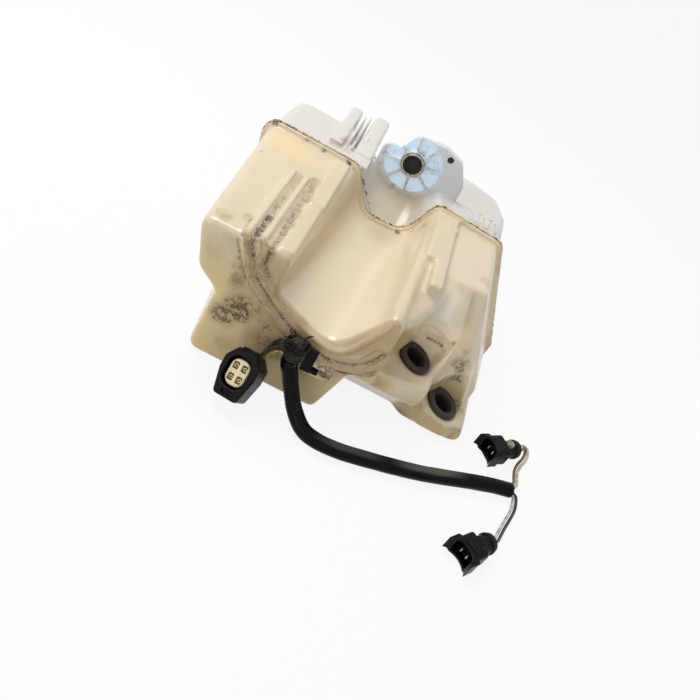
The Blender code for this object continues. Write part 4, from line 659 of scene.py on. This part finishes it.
def wobble(u, v, seed):
    """A smooth unevenness between -1 and 1: the mean of five crossed sine waves with seeded phases."""
    draw = np.random.default_rng(seed)
    total = np.zeros(np.broadcast(u, v).shape)
    for _ in range(5):
        total += np.sin(draw.uniform(0.5, 3.5) * u + draw.integers(1, 5) * v + draw.uniform(0, 6.28))
    return total / 5


def corner_points(mesh):
    """The mesh's vertices as rows of x, y and z."""
    points = np.empty(len(mesh.vertices) * 3)
    mesh.vertices.foreach_get("co", points)
    return points.reshape(-1, 3)


def smooth(item, factor, rounds, group=""):
    """Adds rounds of smoothing, weighted by a vertex group if one is named."""
    even = item.modifiers.new("even", "SMOOTH")
    even.factor, even.iterations, even.vertex_group = factor, rounds, group


def apply_modifiers(item):
    """Makes what the modifiers give the piece's own mesh."""
    graph = bpy.context.evaluated_depsgraph_get()
    item.data = bpy.data.meshes.new_from_object(item.evaluated_get(graph))
    item.modifiers.clear()


def moulded(name, node, voxel, rounds, most, passes=()):
    """A copy of a CAD node with rounded edges: merged, remeshed in cells, smoothed, then thinned.

    Each pass is a reach in metres, smoothed over in (reach / voxel)^2 rounds, and a function that gives
    each vertex its share of them. Most is the number of triangles that it is thinned to.
    """
    mesh = frame["nodes"][node].data.copy()
    work = bmesh.new()
    work.from_mesh(mesh)
    bmesh.ops.remove_doubles(work, verts=work.verts, dist=1e-6)
    work.to_mesh(mesh)
    work.free()
    mesh.materials.clear()
    item = placed(name, mesh)
    cells = item.modifiers.new("cells", "REMESH")
    cells.mode, cells.voxel_size = "VOXEL", voxel
    smooth(item, 0.5, rounds)
    apply_modifiers(item)
    for reach, weigh in passes:
        share = weigh(corner_points(item.data))
        group = item.vertex_groups.new(name="walls")
        for level in np.unique(share):
            group.add(np.nonzero(share == level)[0].tolist(), float(level), "REPLACE")
        smooth(item, 0.5, round((reach / voxel) ** 2), "walls")
        apply_modifiers(item)
        item.vertex_groups.clear()
    triangles = 2 * len(item.data.polygons)
    if triangles > most:
        thin = item.modifiers.new("thin", "DECIMATE")
        thin.ratio = most / triangles
        smooth(item, 0.4, 2)
        apply_modifiers(item)
    item.data.shade_smooth()
    return item


def rest_on(item, slot, *nodes):
    """Ties a finished piece to the tank's body and hides the CAD nodes that it stands for; its slot is not
    used.
    """
    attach(item, "root")
    if nodes:
        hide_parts(*nodes)


def paint(item, material):
    item.data.materials.clear()
    item.data.materials.append(material)
    return item


def made(name, build):
    """A material by name, made the first time it is asked for."""
    return bpy.data.materials.get(name) or build()


# Where the harness's pieces go

def plug_frame(place, turn, roll):
    return (Matrix.Translation(Vector(place)) @ Matrix.Rotation(turn, 4, "Z") @ Matrix.Rotation(roll, 4, "X"))


def four_way_frame():
    """The four-way plug's frame in millimetres: Z out of its mating face, Y up along it."""
    out = Vector((-0.30, -0.76, 0.58)).normalized()
    up = Vector((0.03, 0.6, 0.8))
    up = (up - out * out.dot(up)).normalized()
    return Matrix.Translation(Vector(FOUR_WAY_FACE)) @ Matrix((up.cross(out), up, out)).transposed().to_4x4()


def pigtail_route(number):
    """One short wire from the tape to the back of the four-way plug."""
    row, lane = number // 2, number % 2
    x, y = 1.9 - 3.8 * row, 1.9 - 3.8 * lane
    behind, end = (tuple(four_way_frame() @ Vector((x, y, depth))) for depth in (-24.5 - 3 * lane, -19.0))
    left, front = TAPE_LOW[0] - TAPE_RADIUS - 0.3, TAPE_LOW[1] - 1.5 + 3.0 * lane
    z = TAPE_LOW[2] + 2.2 + 3.0 * row
    return [(left, front, z), (left - 2.6 - row, front + 0.6, z - 0.8),
            (left - 5.9 - 3 * row, front + 4.5, z - 8 - 3 * row),
            (left - 7.5 - 3 * row, front + 6.6 - 0.4 * lane, z - 14.6 - 3 * row), behind, end]


def beside(points, distance):
    """A route moved sideways in plan, for one wire of a pair."""
    flat = np.array(points, dtype=float)
    slope = np.gradient(flat, axis=0)
    side = np.stack([-slope[:, 1], slope[:, 0]], axis=1)
    side /= np.linalg.norm(side, axis=1)[:, None]
    flat[:, :2] += side * distance
    return flat


# Steps that build the object and its stage

class RESERVOIR_OT_camera(bpy.types.Operator):
    """Sets up the camera, the floor, the sky and two soft lamps"""
    bl_idname = "reservoir.camera"
    bl_label = "Camera and stage"

    def execute(self, context):
        scene, stage = context.scene, context.scene.reservoir_stage
        scene.view_settings.view_transform = "Standard"
        camera = placed("camera", bpy.data.cameras.new("camera"))
        camera.data.lens, camera.data.sensor_width = stage.lens, 36.0
        camera.data.sensor_fit = "HORIZONTAL"
        camera.data.clip_start, camera.data.clip_end = 0.01, 20.0
        aim, up = Vector(stage.camera_aim).normalized(), Vector(stage.camera_up).normalized()
        right = aim.cross(up).normalized()
        turn = Matrix((right, right.cross(aim), -aim)).transposed().to_4x4()
        camera.matrix_world = Matrix.Translation(stage.camera_at) @ turn
        scene.camera = camera
        self.lamp("overhead_lamp", (-0.42, 0.12, 0.86), (0.0, 0.0, 0.05), 0.5, stage.key, (1.0, 0.985, 0.96))
        self.lamp("front_lamp", (-0.75, -0.85, 0.55), (0.0, -0.05, 0.05), 0.7, stage.fill, (1.0, 1.0, 1.0))
        self.floor(stage)
        self.sky(scene, stage)
        return {"FINISHED"}

    def lamp(self, name, place, target, size, power, colour):
        data = bpy.data.lights.new(name, "AREA")
        data.shape, data.size, data.energy, data.color = "DISK", size, power, colour
        lamp = placed(name, data)
        lamp.matrix_world = (Matrix.Translation(place)
                             @ (Vector(place) - Vector(target)).to_track_quat("Z", "Y").to_matrix().to_4x4())

    def floor(self, stage):
        """A flat square under the object that glows a little for the camera and in reflections."""
        reach, level = 40.0, -0.15 * MM
        mesh = bpy.data.meshes.new("floor")
        mesh.from_pydata([(-reach, -reach, level), (reach, -reach, level), (reach, reach, level),
                          (-reach, reach, level)], [], [(0, 1, 2, 3)])
        floor = placed("floor", mesh)
        material, at, _ = new_material("studio_floor", 0.9)
        tree = material.node_tree
        seen = self.seen(at)
        diffuse = at.node("BsdfDiffuse", {}, {"Color": tuple(stage.floor)})
        glow = at.node("Emission", {}, {"Color": (1.0, 1.0, 1.0), "Strength": 1.0})
        blend = at.node("MixShader", {}, {0: seen * FLOOR_SEEN, 1: diffuse, 2: glow})
        tree.links.new(blend.socket, tree.nodes["Material Output"].inputs["Surface"])
        paint(floor, material)

    def sky(self, scene, stage):
        world = bpy.data.worlds.new("studio_sky")
        scene.world = world
        world.use_nodes = True
        tree = world.node_tree
        back = tree.nodes["Background"]
        back.inputs["Color"].default_value = (1.0, 1.0, 1.0, 1.0)
        start = Socket(tree, back.outputs[0])
        strength = stage.sky + self.seen(start) * (SKY_SEEN - stage.sky)
        tree.links.new(strength.socket, back.inputs["Strength"])

    def seen(self, start):
        """1 for rays from the camera, a reflection or a transmission, else 0."""
        rays = start.node("LightPath").socket.node.outputs
        camera, gloss, through = (Socket(start.tree, rays[key]) for key in
                                  ("Is Camera Ray", "Is Glossy Ray", "Is Transmission Ray"))
        return camera.over(gloss).over(through)


class RESERVOIR_OT_cords(bpy.types.Operator):
    """Makes the conduit and the eight wires along their routes"""
    bl_idname = "reservoir.cords"
    bl_label = "Conduit and wires"

    def execute(self, context):
        settings = context.scene.reservoir_harness
        self.conduit(settings)
        nodes = frame["nodes"]
        for number, colour in enumerate(("yellow", "black", "black", "brown")):
            name = f"pigtail_wire_{number + 1}"
            path = smooth_path(np.array(pigtail_route(number)) * MM, 60)
            self.wire(name, path, colour, settings, nodes[f"four_way_terminal_{number + 1}"])
        for name, route, place, colours in (("far", FAR_WIRE_ROUTE, FAR_PLUG, ("white", "brown")),
                                            ("near", NEAR_WIRE_ROUTE, NEAR_PLUG, ("white", "black"))):
            frame_mm = plug_frame(*place)
            entry = [tuple(frame_mm @ Vector((WIRE_END + back, 0, 0))) for back in (3.6, 0.0)]
            for number, side in enumerate((-1, 1)):
                path = smooth_path(beside(route + entry, side * WIRE_SPREAD / 2) * MM, 90)
                self.wire(f"{name}_wire_{number + 1}", path, colours[number], settings,
                          nodes[f"{name}_plug_terminal_{number + 1}"])
        return {"FINISHED"}

    def conduit(self, settings):
        """Radius = r (0.985 + 0.018 wobble + 0.035 wraps at the top - 0.10 creases in the fold - a slit).

        Its section is flattened by 14% of its height where it folds.
        """
        path = smooth_path(np.array(LOOM_ROUTE) * MM, 420)
        along = distance_along(path)[:, None] / MM
        angle = np.linspace(0, 2 * math.pi, 48, endpoint=False)[None, :]
        fold = np.exp(-((along - 26) / 9) ** 2)
        wraps = 0.5 + 0.5 * np.tanh(6 * np.sin(along * 2 * math.pi / 7.5 + angle))
        top = np.exp(-(along / 9) ** 4)
        crease = np.abs(np.sin(along * 1.35 + 1.3 * np.sin(angle + 0.6) + 0.4 * wobble(along / 6, angle, 3)))
        radius = settings.loom / 2 * (0.985 + 0.018 * wobble(along / 7, angle, 5) + 0.035 * wraps * top
                                      - 0.10 * fold * (1 - crease) ** 2
                                      - 0.012 * np.exp(-((np.mod(angle - 1.2, 6.283) - 3.1) / 0.12) ** 2))
        item = tube("loom_conduit", path, radius, 48, (0.0, 1.0, 0.0), 1 - 0.14 * fold[:, 0])
        # Painted highlight: grey strips along the conduit's top stand for its soft sheen
        conduit_sheen = [(92, -142, 14, 34, .9), (36, -158, 12, 30, .5), (-12, -150, 12, 10, .6)]
        paint(item, dark_material("loom_vinyl", tuple(settings.vinyl), 0.22, 0.1, 0.03, conduit_sheen))
        rest_on(item, "loom_vinyl", "conduit")

    def wire(self, name, path, colour, settings, pin):
        """A tube along the wire's middle line: radius = r (0.98 + 0.02 wobble)."""
        along = distance_along(path)[:, None] / MM
        angle = np.linspace(0, 2 * math.pi, 14, endpoint=False)[None, :]
        radius = settings.wire / 2 * (0.98 + 0.02 * wobble(along / 3, angle, len(name) + int(name[-1])))
        guide = (0.0, 1.0, 0.0) if name.startswith("pigtail") else (0.0, 0.0, 1.0)
        item = tube(name + "_sheath", path, radius, 14, guide)
        colours = {"white": (0.62, 0.58, 0.50), "black": (0.018, 0.018, 0.018), "brown": (0.20, 0.11, 0.05),
                   "yellow": (0.60, 0.42, 0.05)}
        key = "sheath_" + colour
        paint(item, made(key, lambda: wire_material(key, colours[colour])))
        rest_on(item, "wire_" + colour, name)


class RESERVOIR_OT_shells(bpy.types.Operator):
    """Rounds both moulded halves of the tank and gives them their aged finish, with painted light, shade and
    glow
    """
    bl_idname = "reservoir.shells"
    bl_label = "Tank shells"

    def execute(self, context):
        tank = context.scene.reservoir_tank
        front = moulded("front_moulding", "front_shell", tank.voxel, 3, MOST_SHELL_TRIANGLES,
                        [(tank.rounding, self.front_share), (tank.bowl, self.trough_share)])
        paint(front, tank_material("front_polypropylene", tuple(tank.front), tuple(tank.front_low_aged_and_shaded),
                                   (FRONT_SPOTS, FRONT_STREAKS, FRONT_STAINS), tank))
        rest_on(front, "front_plastic", "front_shell")
        rear = moulded("rear_moulding", "rear_shell", tank.voxel * REAR_VOXEL_SHARE, 4, MOST_SHELL_TRIANGLES,
                       [(tank.rounding, self.rear_share)])
        # The rear's lower walls take this darker colour: partly aged plastic, partly painted shade
        paint(rear, tank_material("rear_polypropylene", tuple(tank.rear), (0.66, 0.61, 0.53),
                                  (REAR_SPOTS, REAR_STREAKS, REAR_STAINS), tank))
        rest_on(rear, "rear_plastic", "rear_shell")
        return {"FINISHED"}

    @staticmethod
    def front_share(points):
        """Ribs, seam flange and the lip keep their edges, the plain walls are rounded most."""
        x, y, z = points.T / MM
        share = np.ones(len(points))
        share[y > 14] = 0.1
        share[(y < -128) & (z > 40) & (x > -64) & (x < 30)] = 0.3
        share[(x > -64) & (x < -47) & (z > 95)] = 0.3
        return share

    @staticmethod
    def trough_share(points):
        """Only the trough's inside is rounded further, into a bowl."""
        x, y, z = points.T / MM
        share = np.zeros(len(points))
        inside = (x > -56) & (x < 24) & (y < 8) & (y > -120) & (z > 48)
        share[inside & (z < 98)] = 0.5
        share[inside & (z < 92) & (y < 2) & (y > -114)] = 1
        return share

    @staticmethod
    def rear_share(points):
        """The hub, its ear, the raised outlines and the seam flange keep their edges."""
        x, y, z = points.T / MM
        share = np.ones(len(points))
        share[(z > 84) & (y < 66) & (x < 40)] = 0.05
        share[(z > 100) & (x > 38)] = 0.15
        share[y < 24] = 0.1
        return share


class RESERVOIR_OT_ribs(bpy.types.Operator):
    """Lays the double rib over the top and under the trough, and the rim round the trough's mouth"""
    bl_idname = "reservoir.ribs"
    bl_label = "Double rib and rim"

    def execute(self, context):
        plastic = rib_material(context.scene.reservoir_tank)
        for number, offset in enumerate((-5.0, 5.0)):
            line, normals = self.rib_line(offset)
            item = self.ridge(f"rib_{number + 1}", line, normals, 4.6, 2.7)
            rest_on(paint(item, plastic), "front_plastic")
        mouth = [(-53.6, 79), (-53.4, 75), (-51, 70), (-40, 66), (-21, 57), (-5, 54), (5, 59.5), (13, 74),
                 (21, 91)]
        line = [(x, -131.0, z) for x, z in mouth]
        item = self.ridge("trough_rim", line, [(0, -1, 0)] * len(line), 3.4, 2.5)
        rest_on(paint(item, plastic), "front_plastic")
        return {"FINISHED"}

    @staticmethod
    def rib_line(offset):
        """A rib's way and the wall's normals, over the top, round the front edge and under the trough."""
        x = -76.0 + offset
        line, normals = [], []
        for y in np.linspace(-31, -126, 9):
            line.append((x, y, 98.5 + 5.5 * (y + 131) / 149.85))
            normals.append((0, 0, 1))
        for step in range(1, 4):
            angle = math.pi / 2 * step / 4
            line.append((x + offset * 0.2 * step / 4 + step, -131 + 5 * (1 - math.sin(angle)),
                         98.5 - 5 * (1 - math.cos(angle))))
            normals.append((0, -math.sin(angle), math.cos(angle)))
        around = [(-71, 88), (-66, 78), (-53, 67.5), (-36, 56.5), (-21, 49.5), (-5, 47), (9, 50), (19, 57.5),
                  (26.5, 70)]
        curve = smooth_path([(px, 0, pz) for px, pz in around], 22)
        slopes = np.gradient(curve, axis=0)
        inward = np.stack([-slopes[:, 2], slopes[:, 0]], axis=1) / np.linalg.norm(slopes, axis=1)[:, None]
        for point, turn in zip(curve, inward * offset * 0.72):
            line.append((point[0] + turn[0], -131.0, point[2] + turn[1]))
            normals.append((0, -1, 0))
        return line, normals

    @staticmethod
    def ridge(name, line, normals, width, height):
        """A round-topped ridge: at angle a the point is line + side w/2 cos a + normal h sin a.

        Below the wall the normal part is 1 mm deep, and both ends sink into the wall over 6 mm.
        """
        line, normals = np.array(line, dtype=float), np.array(normals, dtype=float)
        rough = distance_along(line)
        path = smooth_path(line, 260)
        along = distance_along(path)
        even = rough * along[-1] / rough[-1]
        normal = np.stack([np.interp(along, even, normals[:, axis]) for axis in range(3)], axis=1)
        normal /= np.linalg.norm(normal, axis=1)[:, None]
        slope = np.gradient(path, axis=0)
        side = np.cross(slope, normal)
        side /= np.linalg.norm(side, axis=1)[:, None]
        ends = np.minimum(along, along[-1] - along)
        fade = np.clip(ends / 6, 0.03, 1) ** 0.5
        angle = np.linspace(0, 2 * math.pi, 24, endpoint=False)
        rise = np.sign(np.sin(angle)) * np.abs(np.sin(angle)) ** 0.8
        level = np.where(rise > 0, rise[None, :] * height * fade[:, None], rise[None, :] * 1.0)
        spread = np.cos(angle)[None, :] * width / 2 * (0.4 + 0.6 * fade[:, None])
        rows = (path[:, None] + side[:, None] * spread[..., None]
                + normal[:, None] * level[..., None])
        return surface(name, rows * MM)


class RESERVOIR_OT_weld(bpy.types.Operator):
    """Lays the weld bead round the seam and the raised outlines on the rear deck"""
    bl_idname = "reservoir.weld"
    bl_label = "Weld and outlines"

    def execute(self, context):
        tank = context.scene.reservoir_tank
        rim = self.seam_line()
        steps = np.arange(len(rim))
        radius = tank.bead * (1 + 0.14 * wobble(steps[:, None] / 9, np.linspace(0, 6.28, 12)[None, :], 8))
        item = self.closed_tube("weld_bead", rim, radius)
        paint(item, weld_material(tank))
        rest_on(item, "front_plastic")
        for number, x in enumerate((48.0, 59.4, 69.6)):
            outline = self.keyhole_line(x, 50.0)
            ridge = tube(f"raised_outline_{number + 1}", outline, 0.62 * MM, 12, (0.0, 0.0, 1.0))
            paint(ridge, bpy.data.materials["rear_polypropylene"])
            rest_on(ridge, "rear_plastic")
        return {"FINISHED"}

    @staticmethod
    def seam_line():
        """The tank's outline at the weld: the furthest point of the front flange in each direction."""
        mesh = frame["nodes"]["front_shell"].data
        points = corner_points(mesh)
        edges = np.empty(len(mesh.edges) * 2, dtype=int)
        mesh.edges.foreach_get("vertices", edges)
        ends = points[edges.reshape(-1, 2)]
        ends = ends[(ends[:, :, 1] > SEAM_Y - 0.6 * MM).all(axis=1)]
        share = np.linspace(0, 1, 60)[None, :, None]
        spread = (ends[:, :1] * (1 - share) + ends[:, 1:] * share).reshape(-1, 3)
        middle = np.array([0.0, 52 * MM])
        offset = spread[:, [0, 2]] - middle
        turn = np.arctan2(offset[:, 1], offset[:, 0])
        reach = np.linalg.norm(offset, axis=1)
        bins = ((turn + math.pi) / (2 * math.pi) * 720).astype(int) % 720
        furthest = np.zeros(720)
        np.maximum.at(furthest, bins, reach)
        have = furthest > 0
        angle = (np.arange(720) + 0.5) / 720 * 2 * math.pi - math.pi
        furthest = np.interp(np.arange(720), np.arange(720)[have], furthest[have])
        return np.stack([middle[0] + furthest * np.cos(angle), np.full(720, SEAM_Y),
                         middle[1] + furthest * np.sin(angle)], axis=1)

    @staticmethod
    def closed_tube(name, line, radius):
        """A ring-shaped tube: line + radius (out cos a + Y sin a), with out square to the line and to Y."""
        slope = np.roll(line, -1, axis=0) - np.roll(line, 1, axis=0)
        slope /= np.linalg.norm(slope, axis=1)[:, None]
        side = np.broadcast_to((0.0, 1.0, 0.0), slope.shape)
        out = np.cross(slope, side)
        angle = np.linspace(0, 2 * math.pi, radius.shape[1], endpoint=False)
        rows = (line[:, None] + radius[..., None] * (out[:, None] * np.cos(angle)[None, :, None]
                                                     + side[:, None] * np.sin(angle)[None, :, None]))
        return surface(name, rows, closed_along=True, caps=False)

    @staticmethod
    def keyhole_line(x, y):
        """A ring of 3 mm radius, open at the front, on two legs that spread."""
        ring = np.radians(np.linspace(232, -52, 28))
        round_part = np.stack([x + 3 * np.cos(ring), y + 3 * np.sin(ring)], axis=1)
        left = np.array([(x - 4.2, y - 17), (x - 2.6, y - 9), (x - 1.8, y - 3.6)])
        right = np.array([(x + 1.8, y - 3.6), (x + 2.6, y - 9), (x + 4.2, y - 17)])
        flat = np.vstack([left, round_part, right])
        points = np.column_stack([flat, np.full(len(flat), TOP_SEAM / MM + 0.35)])
        return smooth_path(points * MM, 120)


class RESERVOIR_OT_fittings(bpy.types.Operator):
    """Makes the steel sleeve, the rubber pump seats and the strainers"""
    bl_idname = "reservoir.fittings"
    bl_label = "Sleeve and pump seats"

    def execute(self, context):
        place = Matrix.Translation((HUB_X, 0, HUB_Z)) @ Matrix.Rotation(-math.pi / 2, 4, "X")
        low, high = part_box("mounting_sleeve")[0][1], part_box("mounting_sleeve")[1][1]
        bore, outer, edge = 7.6 * MM, 9.1 * MM, 0.45 * MM
        corner = np.radians([0, 30, 60, 90])
        rounded = []
        for radius, height, start in ((outer - edge, high - edge, 0), (bore + edge, high - edge, 90),
                                      (bore + edge, low + edge, 180), (outer - edge, low + edge, 270)):
            turn = corner + math.radians(start)
            rounded += list(zip(radius + edge * np.cos(turn), height + edge * np.sin(turn)))
        sleeve = revolved("rolled_sleeve", rounded, place)
        paint(sleeve, metal_material("rolled_steel", (0.50, 0.48, 0.45), (0.20, 0.17, 0.14), 0.34))
        rest_on(sleeve, "sleeve_steel", "mounting_sleeve")
        # Painted shade: dark films across the sleeve's bore and the ear's hole stand for the dark seen
        # through them, with dust on top
        bore_shade = dark_material("bore_shade_film", (0.055, 0.054, 0.056), 0.9, 0.0, 0.6)
        self.dark_bore_film("sleeve_bore_shade", place, bore - 0.05 * MM, low + 7 * MM, bore_shade)
        self.dark_bore_film("ear_hole_shade", Matrix.Translation((EAR_HOLE_X - HUB_X, 0, EAR_HOLE_Z - HUB_Z)) @ place,
                          2.8 * MM, HUB_FACE_Y + 1.8 * MM, bore_shade)
        rubber = dark_material("seat_rubber", (0.060, 0.048, 0.040), 0.5, 0.6, 0.35)
        strainer = dark_material("strainer_moulding", (0.02, 0.02, 0.02), 0.42, 0.2, 0.1)
        for height in ("upper", "lower"):
            seat = moulded(f"{height}_seat_ring", f"{height}_pump_grommet", 0.35 * MM, 3, 60000)
            rest_on(paint(seat, rubber), "grommet_rubber", f"{height}_pump_grommet")
            paint(frame["nodes"][f"{height}_strainer"], strainer)
        return {"FINISHED"}

    @staticmethod
    def dark_bore_film(name, place, radius, height, material):
        """A thin dark film across a bore, painted shade for the dark seen through it: a dish that rises by a
        tenth of its radius at the rim.
        """
        ring = np.linspace(0.02, 1, 10)
        dish = height + 0.1 * radius * ring ** 2 + 0.03 * radius * np.sin(9 * ring)
        profile = np.vstack([np.column_stack([radius * ring, dish]),
                             np.column_stack([radius * ring, dish + 0.5 * MM])[::-1]])
        rest_on(paint(revolved(name, profile, place, 48, False), material), "rear_plastic")


class RESERVOIR_OT_plugs(bpy.types.Operator):
    """Makes the four-way plug, both pump plugs with their lock discs, and the clip"""
    bl_idname = "reservoir.plugs"
    bl_label = "Plugs and clip"

    def execute(self, context):
        settings = context.scene.reservoir_harness
        black = dark_material("plug_moulding", tuple(settings.plastic), 0.27, 0.35, 0.02)
        rubber = dark_material("seal_rubber", (0.045, 0.04, 0.036), 0.55, 0.3, 0.3)
        brass = metal_material("dull_brass", (0.52, 0.42, 0.24), (0.20, 0.15, 0.09), 0.36)
        nodes = frame["nodes"]
        housing = moulded("four_way_shroud", "four_way_housing", 0.32 * MM, 4, 90000)
        rest_on(paint(housing, black), "black_plastic", "four_way_housing")
        core = moulded("four_way_core", "four_way_insert", 0.26 * MM, 3, 60000)
        rest_on(paint(core, cream_material(settings)), "cream_plastic", "four_way_insert")
        clip = moulded("branch_clip", "harness_clip", 0.26 * MM, 3, 40000)
        rest_on(paint(clip, black), "black_plastic", "harness_clip")
        disc_paint = lock_disc_material()
        for name, place in (("near", NEAR_PLUG), ("far", FAR_PLUG)):
            hood = moulded(f"{name}_plug_hood", f"{name}_plug_housing", 0.3 * MM, 4, 90000)
            rest_on(paint(hood, black), "black_plastic", f"{name}_plug_housing")
            disc = self.lock_disc(name, plug_frame(*place))
            rest_on(paint(disc, disc_paint), "cream_plastic", f"{name}_plug_lock_disc")
            paint(nodes[f"{name}_plug_seal"], rubber)
            for number in (1, 2):
                paint(nodes[f"{name}_plug_terminal_{number}"], brass)
        paint(nodes["four_way_seal"], rubber)
        for number in range(1, 5):
            paint(nodes[f"four_way_terminal_{number}"], brass)
        return {"FINISHED"}

    @staticmethod
    def lock_disc(name, place):
        """A turned disc with a raised ring and a dished middle."""
        profile = [(0, DISC_SEAT), (3.2, DISC_SEAT), (3.2, DISC_SEAT + 2.1), (2.9, DISC_SEAT + 2.55),
                   (2.4, DISC_SEAT + 2.6), (2.1, DISC_SEAT + 2.2), (1.6, DISC_SEAT + 1.9),
                   (0.9, DISC_SEAT + 1.85), (0.6, DISC_SEAT + 2.3), (0, DISC_SEAT + 2.35)]
        seat = place @ Matrix.Translation((PLUG_LENGTH / 2 + 4.0, 0, 0)) @ Matrix.Rotation(math.pi, 4, "X")
        metres = Matrix.Scale(MM, 4) @ seat
        points = np.array([(max(r, 0.01), h) for r, h in profile])
        return revolved(f"{name}_lock_disc_turned", points, metres, 72, closed=False)


class RESERVOIR_OT_branch(bpy.types.Operator):
    """Wraps the branch where the short wires leave the conduit in cloth tape"""
    bl_idname = "reservoir.branch"
    bl_label = "Taped branch"

    def execute(self, context):
        """Radius of the bundle = r (1 + 0.05 step of the spiral wrap + 0.06 wobble), drawn in at the top."""
        x, y, z = TAPE_LOW
        rise = np.linspace(0, 1, 120)[:, None]
        angle = np.linspace(0, 2 * math.pi, 64, endpoint=False)[None, :]
        wrap = np.mod(rise * TAPE_HEIGHT / 4.2 + angle / (2 * math.pi), 1.0)
        close = np.sqrt(np.clip(1 - np.clip((rise - 0.55) / 0.45, 0, 1) ** 2.0, 0.01, 1))
        foot = np.sqrt(np.clip(1 - np.clip((0.05 - rise) / 0.05, 0, 1) ** 2, 0.3, 1))
        uneven = 0.94 + 0.05 * wrap + 0.07 * wobble(rise * 9, angle, 2)
        radius = (TAPE_RADIUS - 0.35) * MM * close * foot * uneven
        path = np.array([(x, y, z)]) + np.column_stack([-1.2 * rise[:, 0] ** 2, 0 * rise[:, 0],
                                                        TAPE_HEIGHT * rise[:, 0]])
        trunk = tube("branch_wrap", path * MM, radius, 64, (0.0, 1.0, 0.0))
        cloth = tape_material()
        paint(trunk, cloth)
        rest_on(trunk, "harness_tape", "branch_tape")
        route = [(x - 1.5, y - 0.2, z + 7.5), (x - 6.4, y + 0.2, z + 6.4), (x - 10.4, y + 2.2, z + 3.0),
                 (x - 13.2, y + 4.8, z - 3.4)]
        path = smooth_path(np.array(route) * MM, 90)
        share = np.linspace(0, 1, 90)[:, None]
        ragged = 0.12 * wobble(share * 14, angle, 11) + 0.10 * np.sin(4 * angle + 5 * share)
        wrap = np.mod(share * 5.5 + angle / (2 * math.pi), 1.0)
        radius = (4.3 - 1.1 * share) * MM * (0.95 + 0.10 * wrap + ragged * (0.4 + share))
        tail = tube("branch_tail", path, radius, 64, (0.0, 1.0, 0.0))
        paint(tail, cloth)
        rest_on(tail, "harness_tape")
        rest_on(paint(self.shreds(x, y, z), cloth), "harness_tape")
        return {"FINISHED"}

    @staticmethod
    def shreds(x, y, z):
        """Loose ends of the tape: thin tubes on arcs that leave the bundle outwards and curl down.

        Each is start + out reach s + up (lift s - fall s^2), with a radius that shrinks along it.
        """
        draw = np.random.default_rng(17)
        work = bmesh.new()
        for number in range(34):
            turn = draw.uniform(0, 2 * math.pi)
            out = np.array([math.cos(turn), 0.7 * math.sin(turn), 0.0])
            s = np.linspace(0, 1, 14)[:, None]
            start = np.array([x - 0.8, y, z + draw.uniform(9, TAPE_HEIGHT - 1)]) + out * 3.4
            lift, fall = draw.uniform(2, 7), draw.uniform(1, 8)
            path = start + out * s * draw.uniform(2.5, 6.5)
            path = path + np.array([0, 0, 1.0]) * (lift * s - fall * s ** 2)
            path += np.array([-out[1], out[0], 0]) * np.sin(s * draw.uniform(1, 4)) * 1.2
            part = tube(f"shred_{number}", path * MM, (0.95 - 0.6 * s) * MM, 8, (0.31, 0.2, 0.93))
            work.from_mesh(part.data)
            bpy.data.objects.remove(part)
        mesh = bpy.data.meshes.new("branch_shreds")
        work.to_mesh(mesh)
        work.free()
        return outward("branch_shreds", mesh)


class RESERVOIR_PT_panel(bpy.types.Panel):
    """Lists the reservoir's settings and the steps that build it"""
    bl_idname = "RESERVOIR_PT_panel"
    bl_label = "Washer Reservoir"
    bl_space_type = "VIEW_3D"
    bl_region_type = "UI"
    bl_category = "Reservoir"

    def draw(self, context):
        for key in GROUPS:
            box, group = self.layout.box(), getattr(context.scene, key)
            for setting in group.__annotations__:
                box.prop(group, setting)
        for operator in OPERATORS:
            self.layout.operator(operator.bl_idname)


GROUPS = {"reservoir_tank": ReservoirTank, "reservoir_harness": ReservoirHarness,
          "reservoir_stage": ReservoirStage}
OPERATORS = (RESERVOIR_OT_camera, RESERVOIR_OT_cords, RESERVOIR_OT_shells, RESERVOIR_OT_ribs,
             RESERVOIR_OT_weld, RESERVOIR_OT_fittings, RESERVOIR_OT_plugs, RESERVOIR_OT_branch)


def register():
    for item in (*GROUPS.values(), *OPERATORS, RESERVOIR_PT_panel):
        bpy.utils.register_class(item)
    for key, group in GROUPS.items():
        setattr(bpy.types.Scene, key, PointerProperty(type=group))


def unregister():
    for key in GROUPS:
        delattr(bpy.types.Scene, key)
    for item in (RESERVOIR_PT_panel, *reversed(OPERATORS), *GROUPS.values()):
        bpy.utils.unregister_class(item)


def main():
    register()
    for operator in OPERATORS:
        group, name = operator.bl_idname.split(".")
        getattr(getattr(bpy.ops, group), name)()


if __name__ == "__main__":
    main()
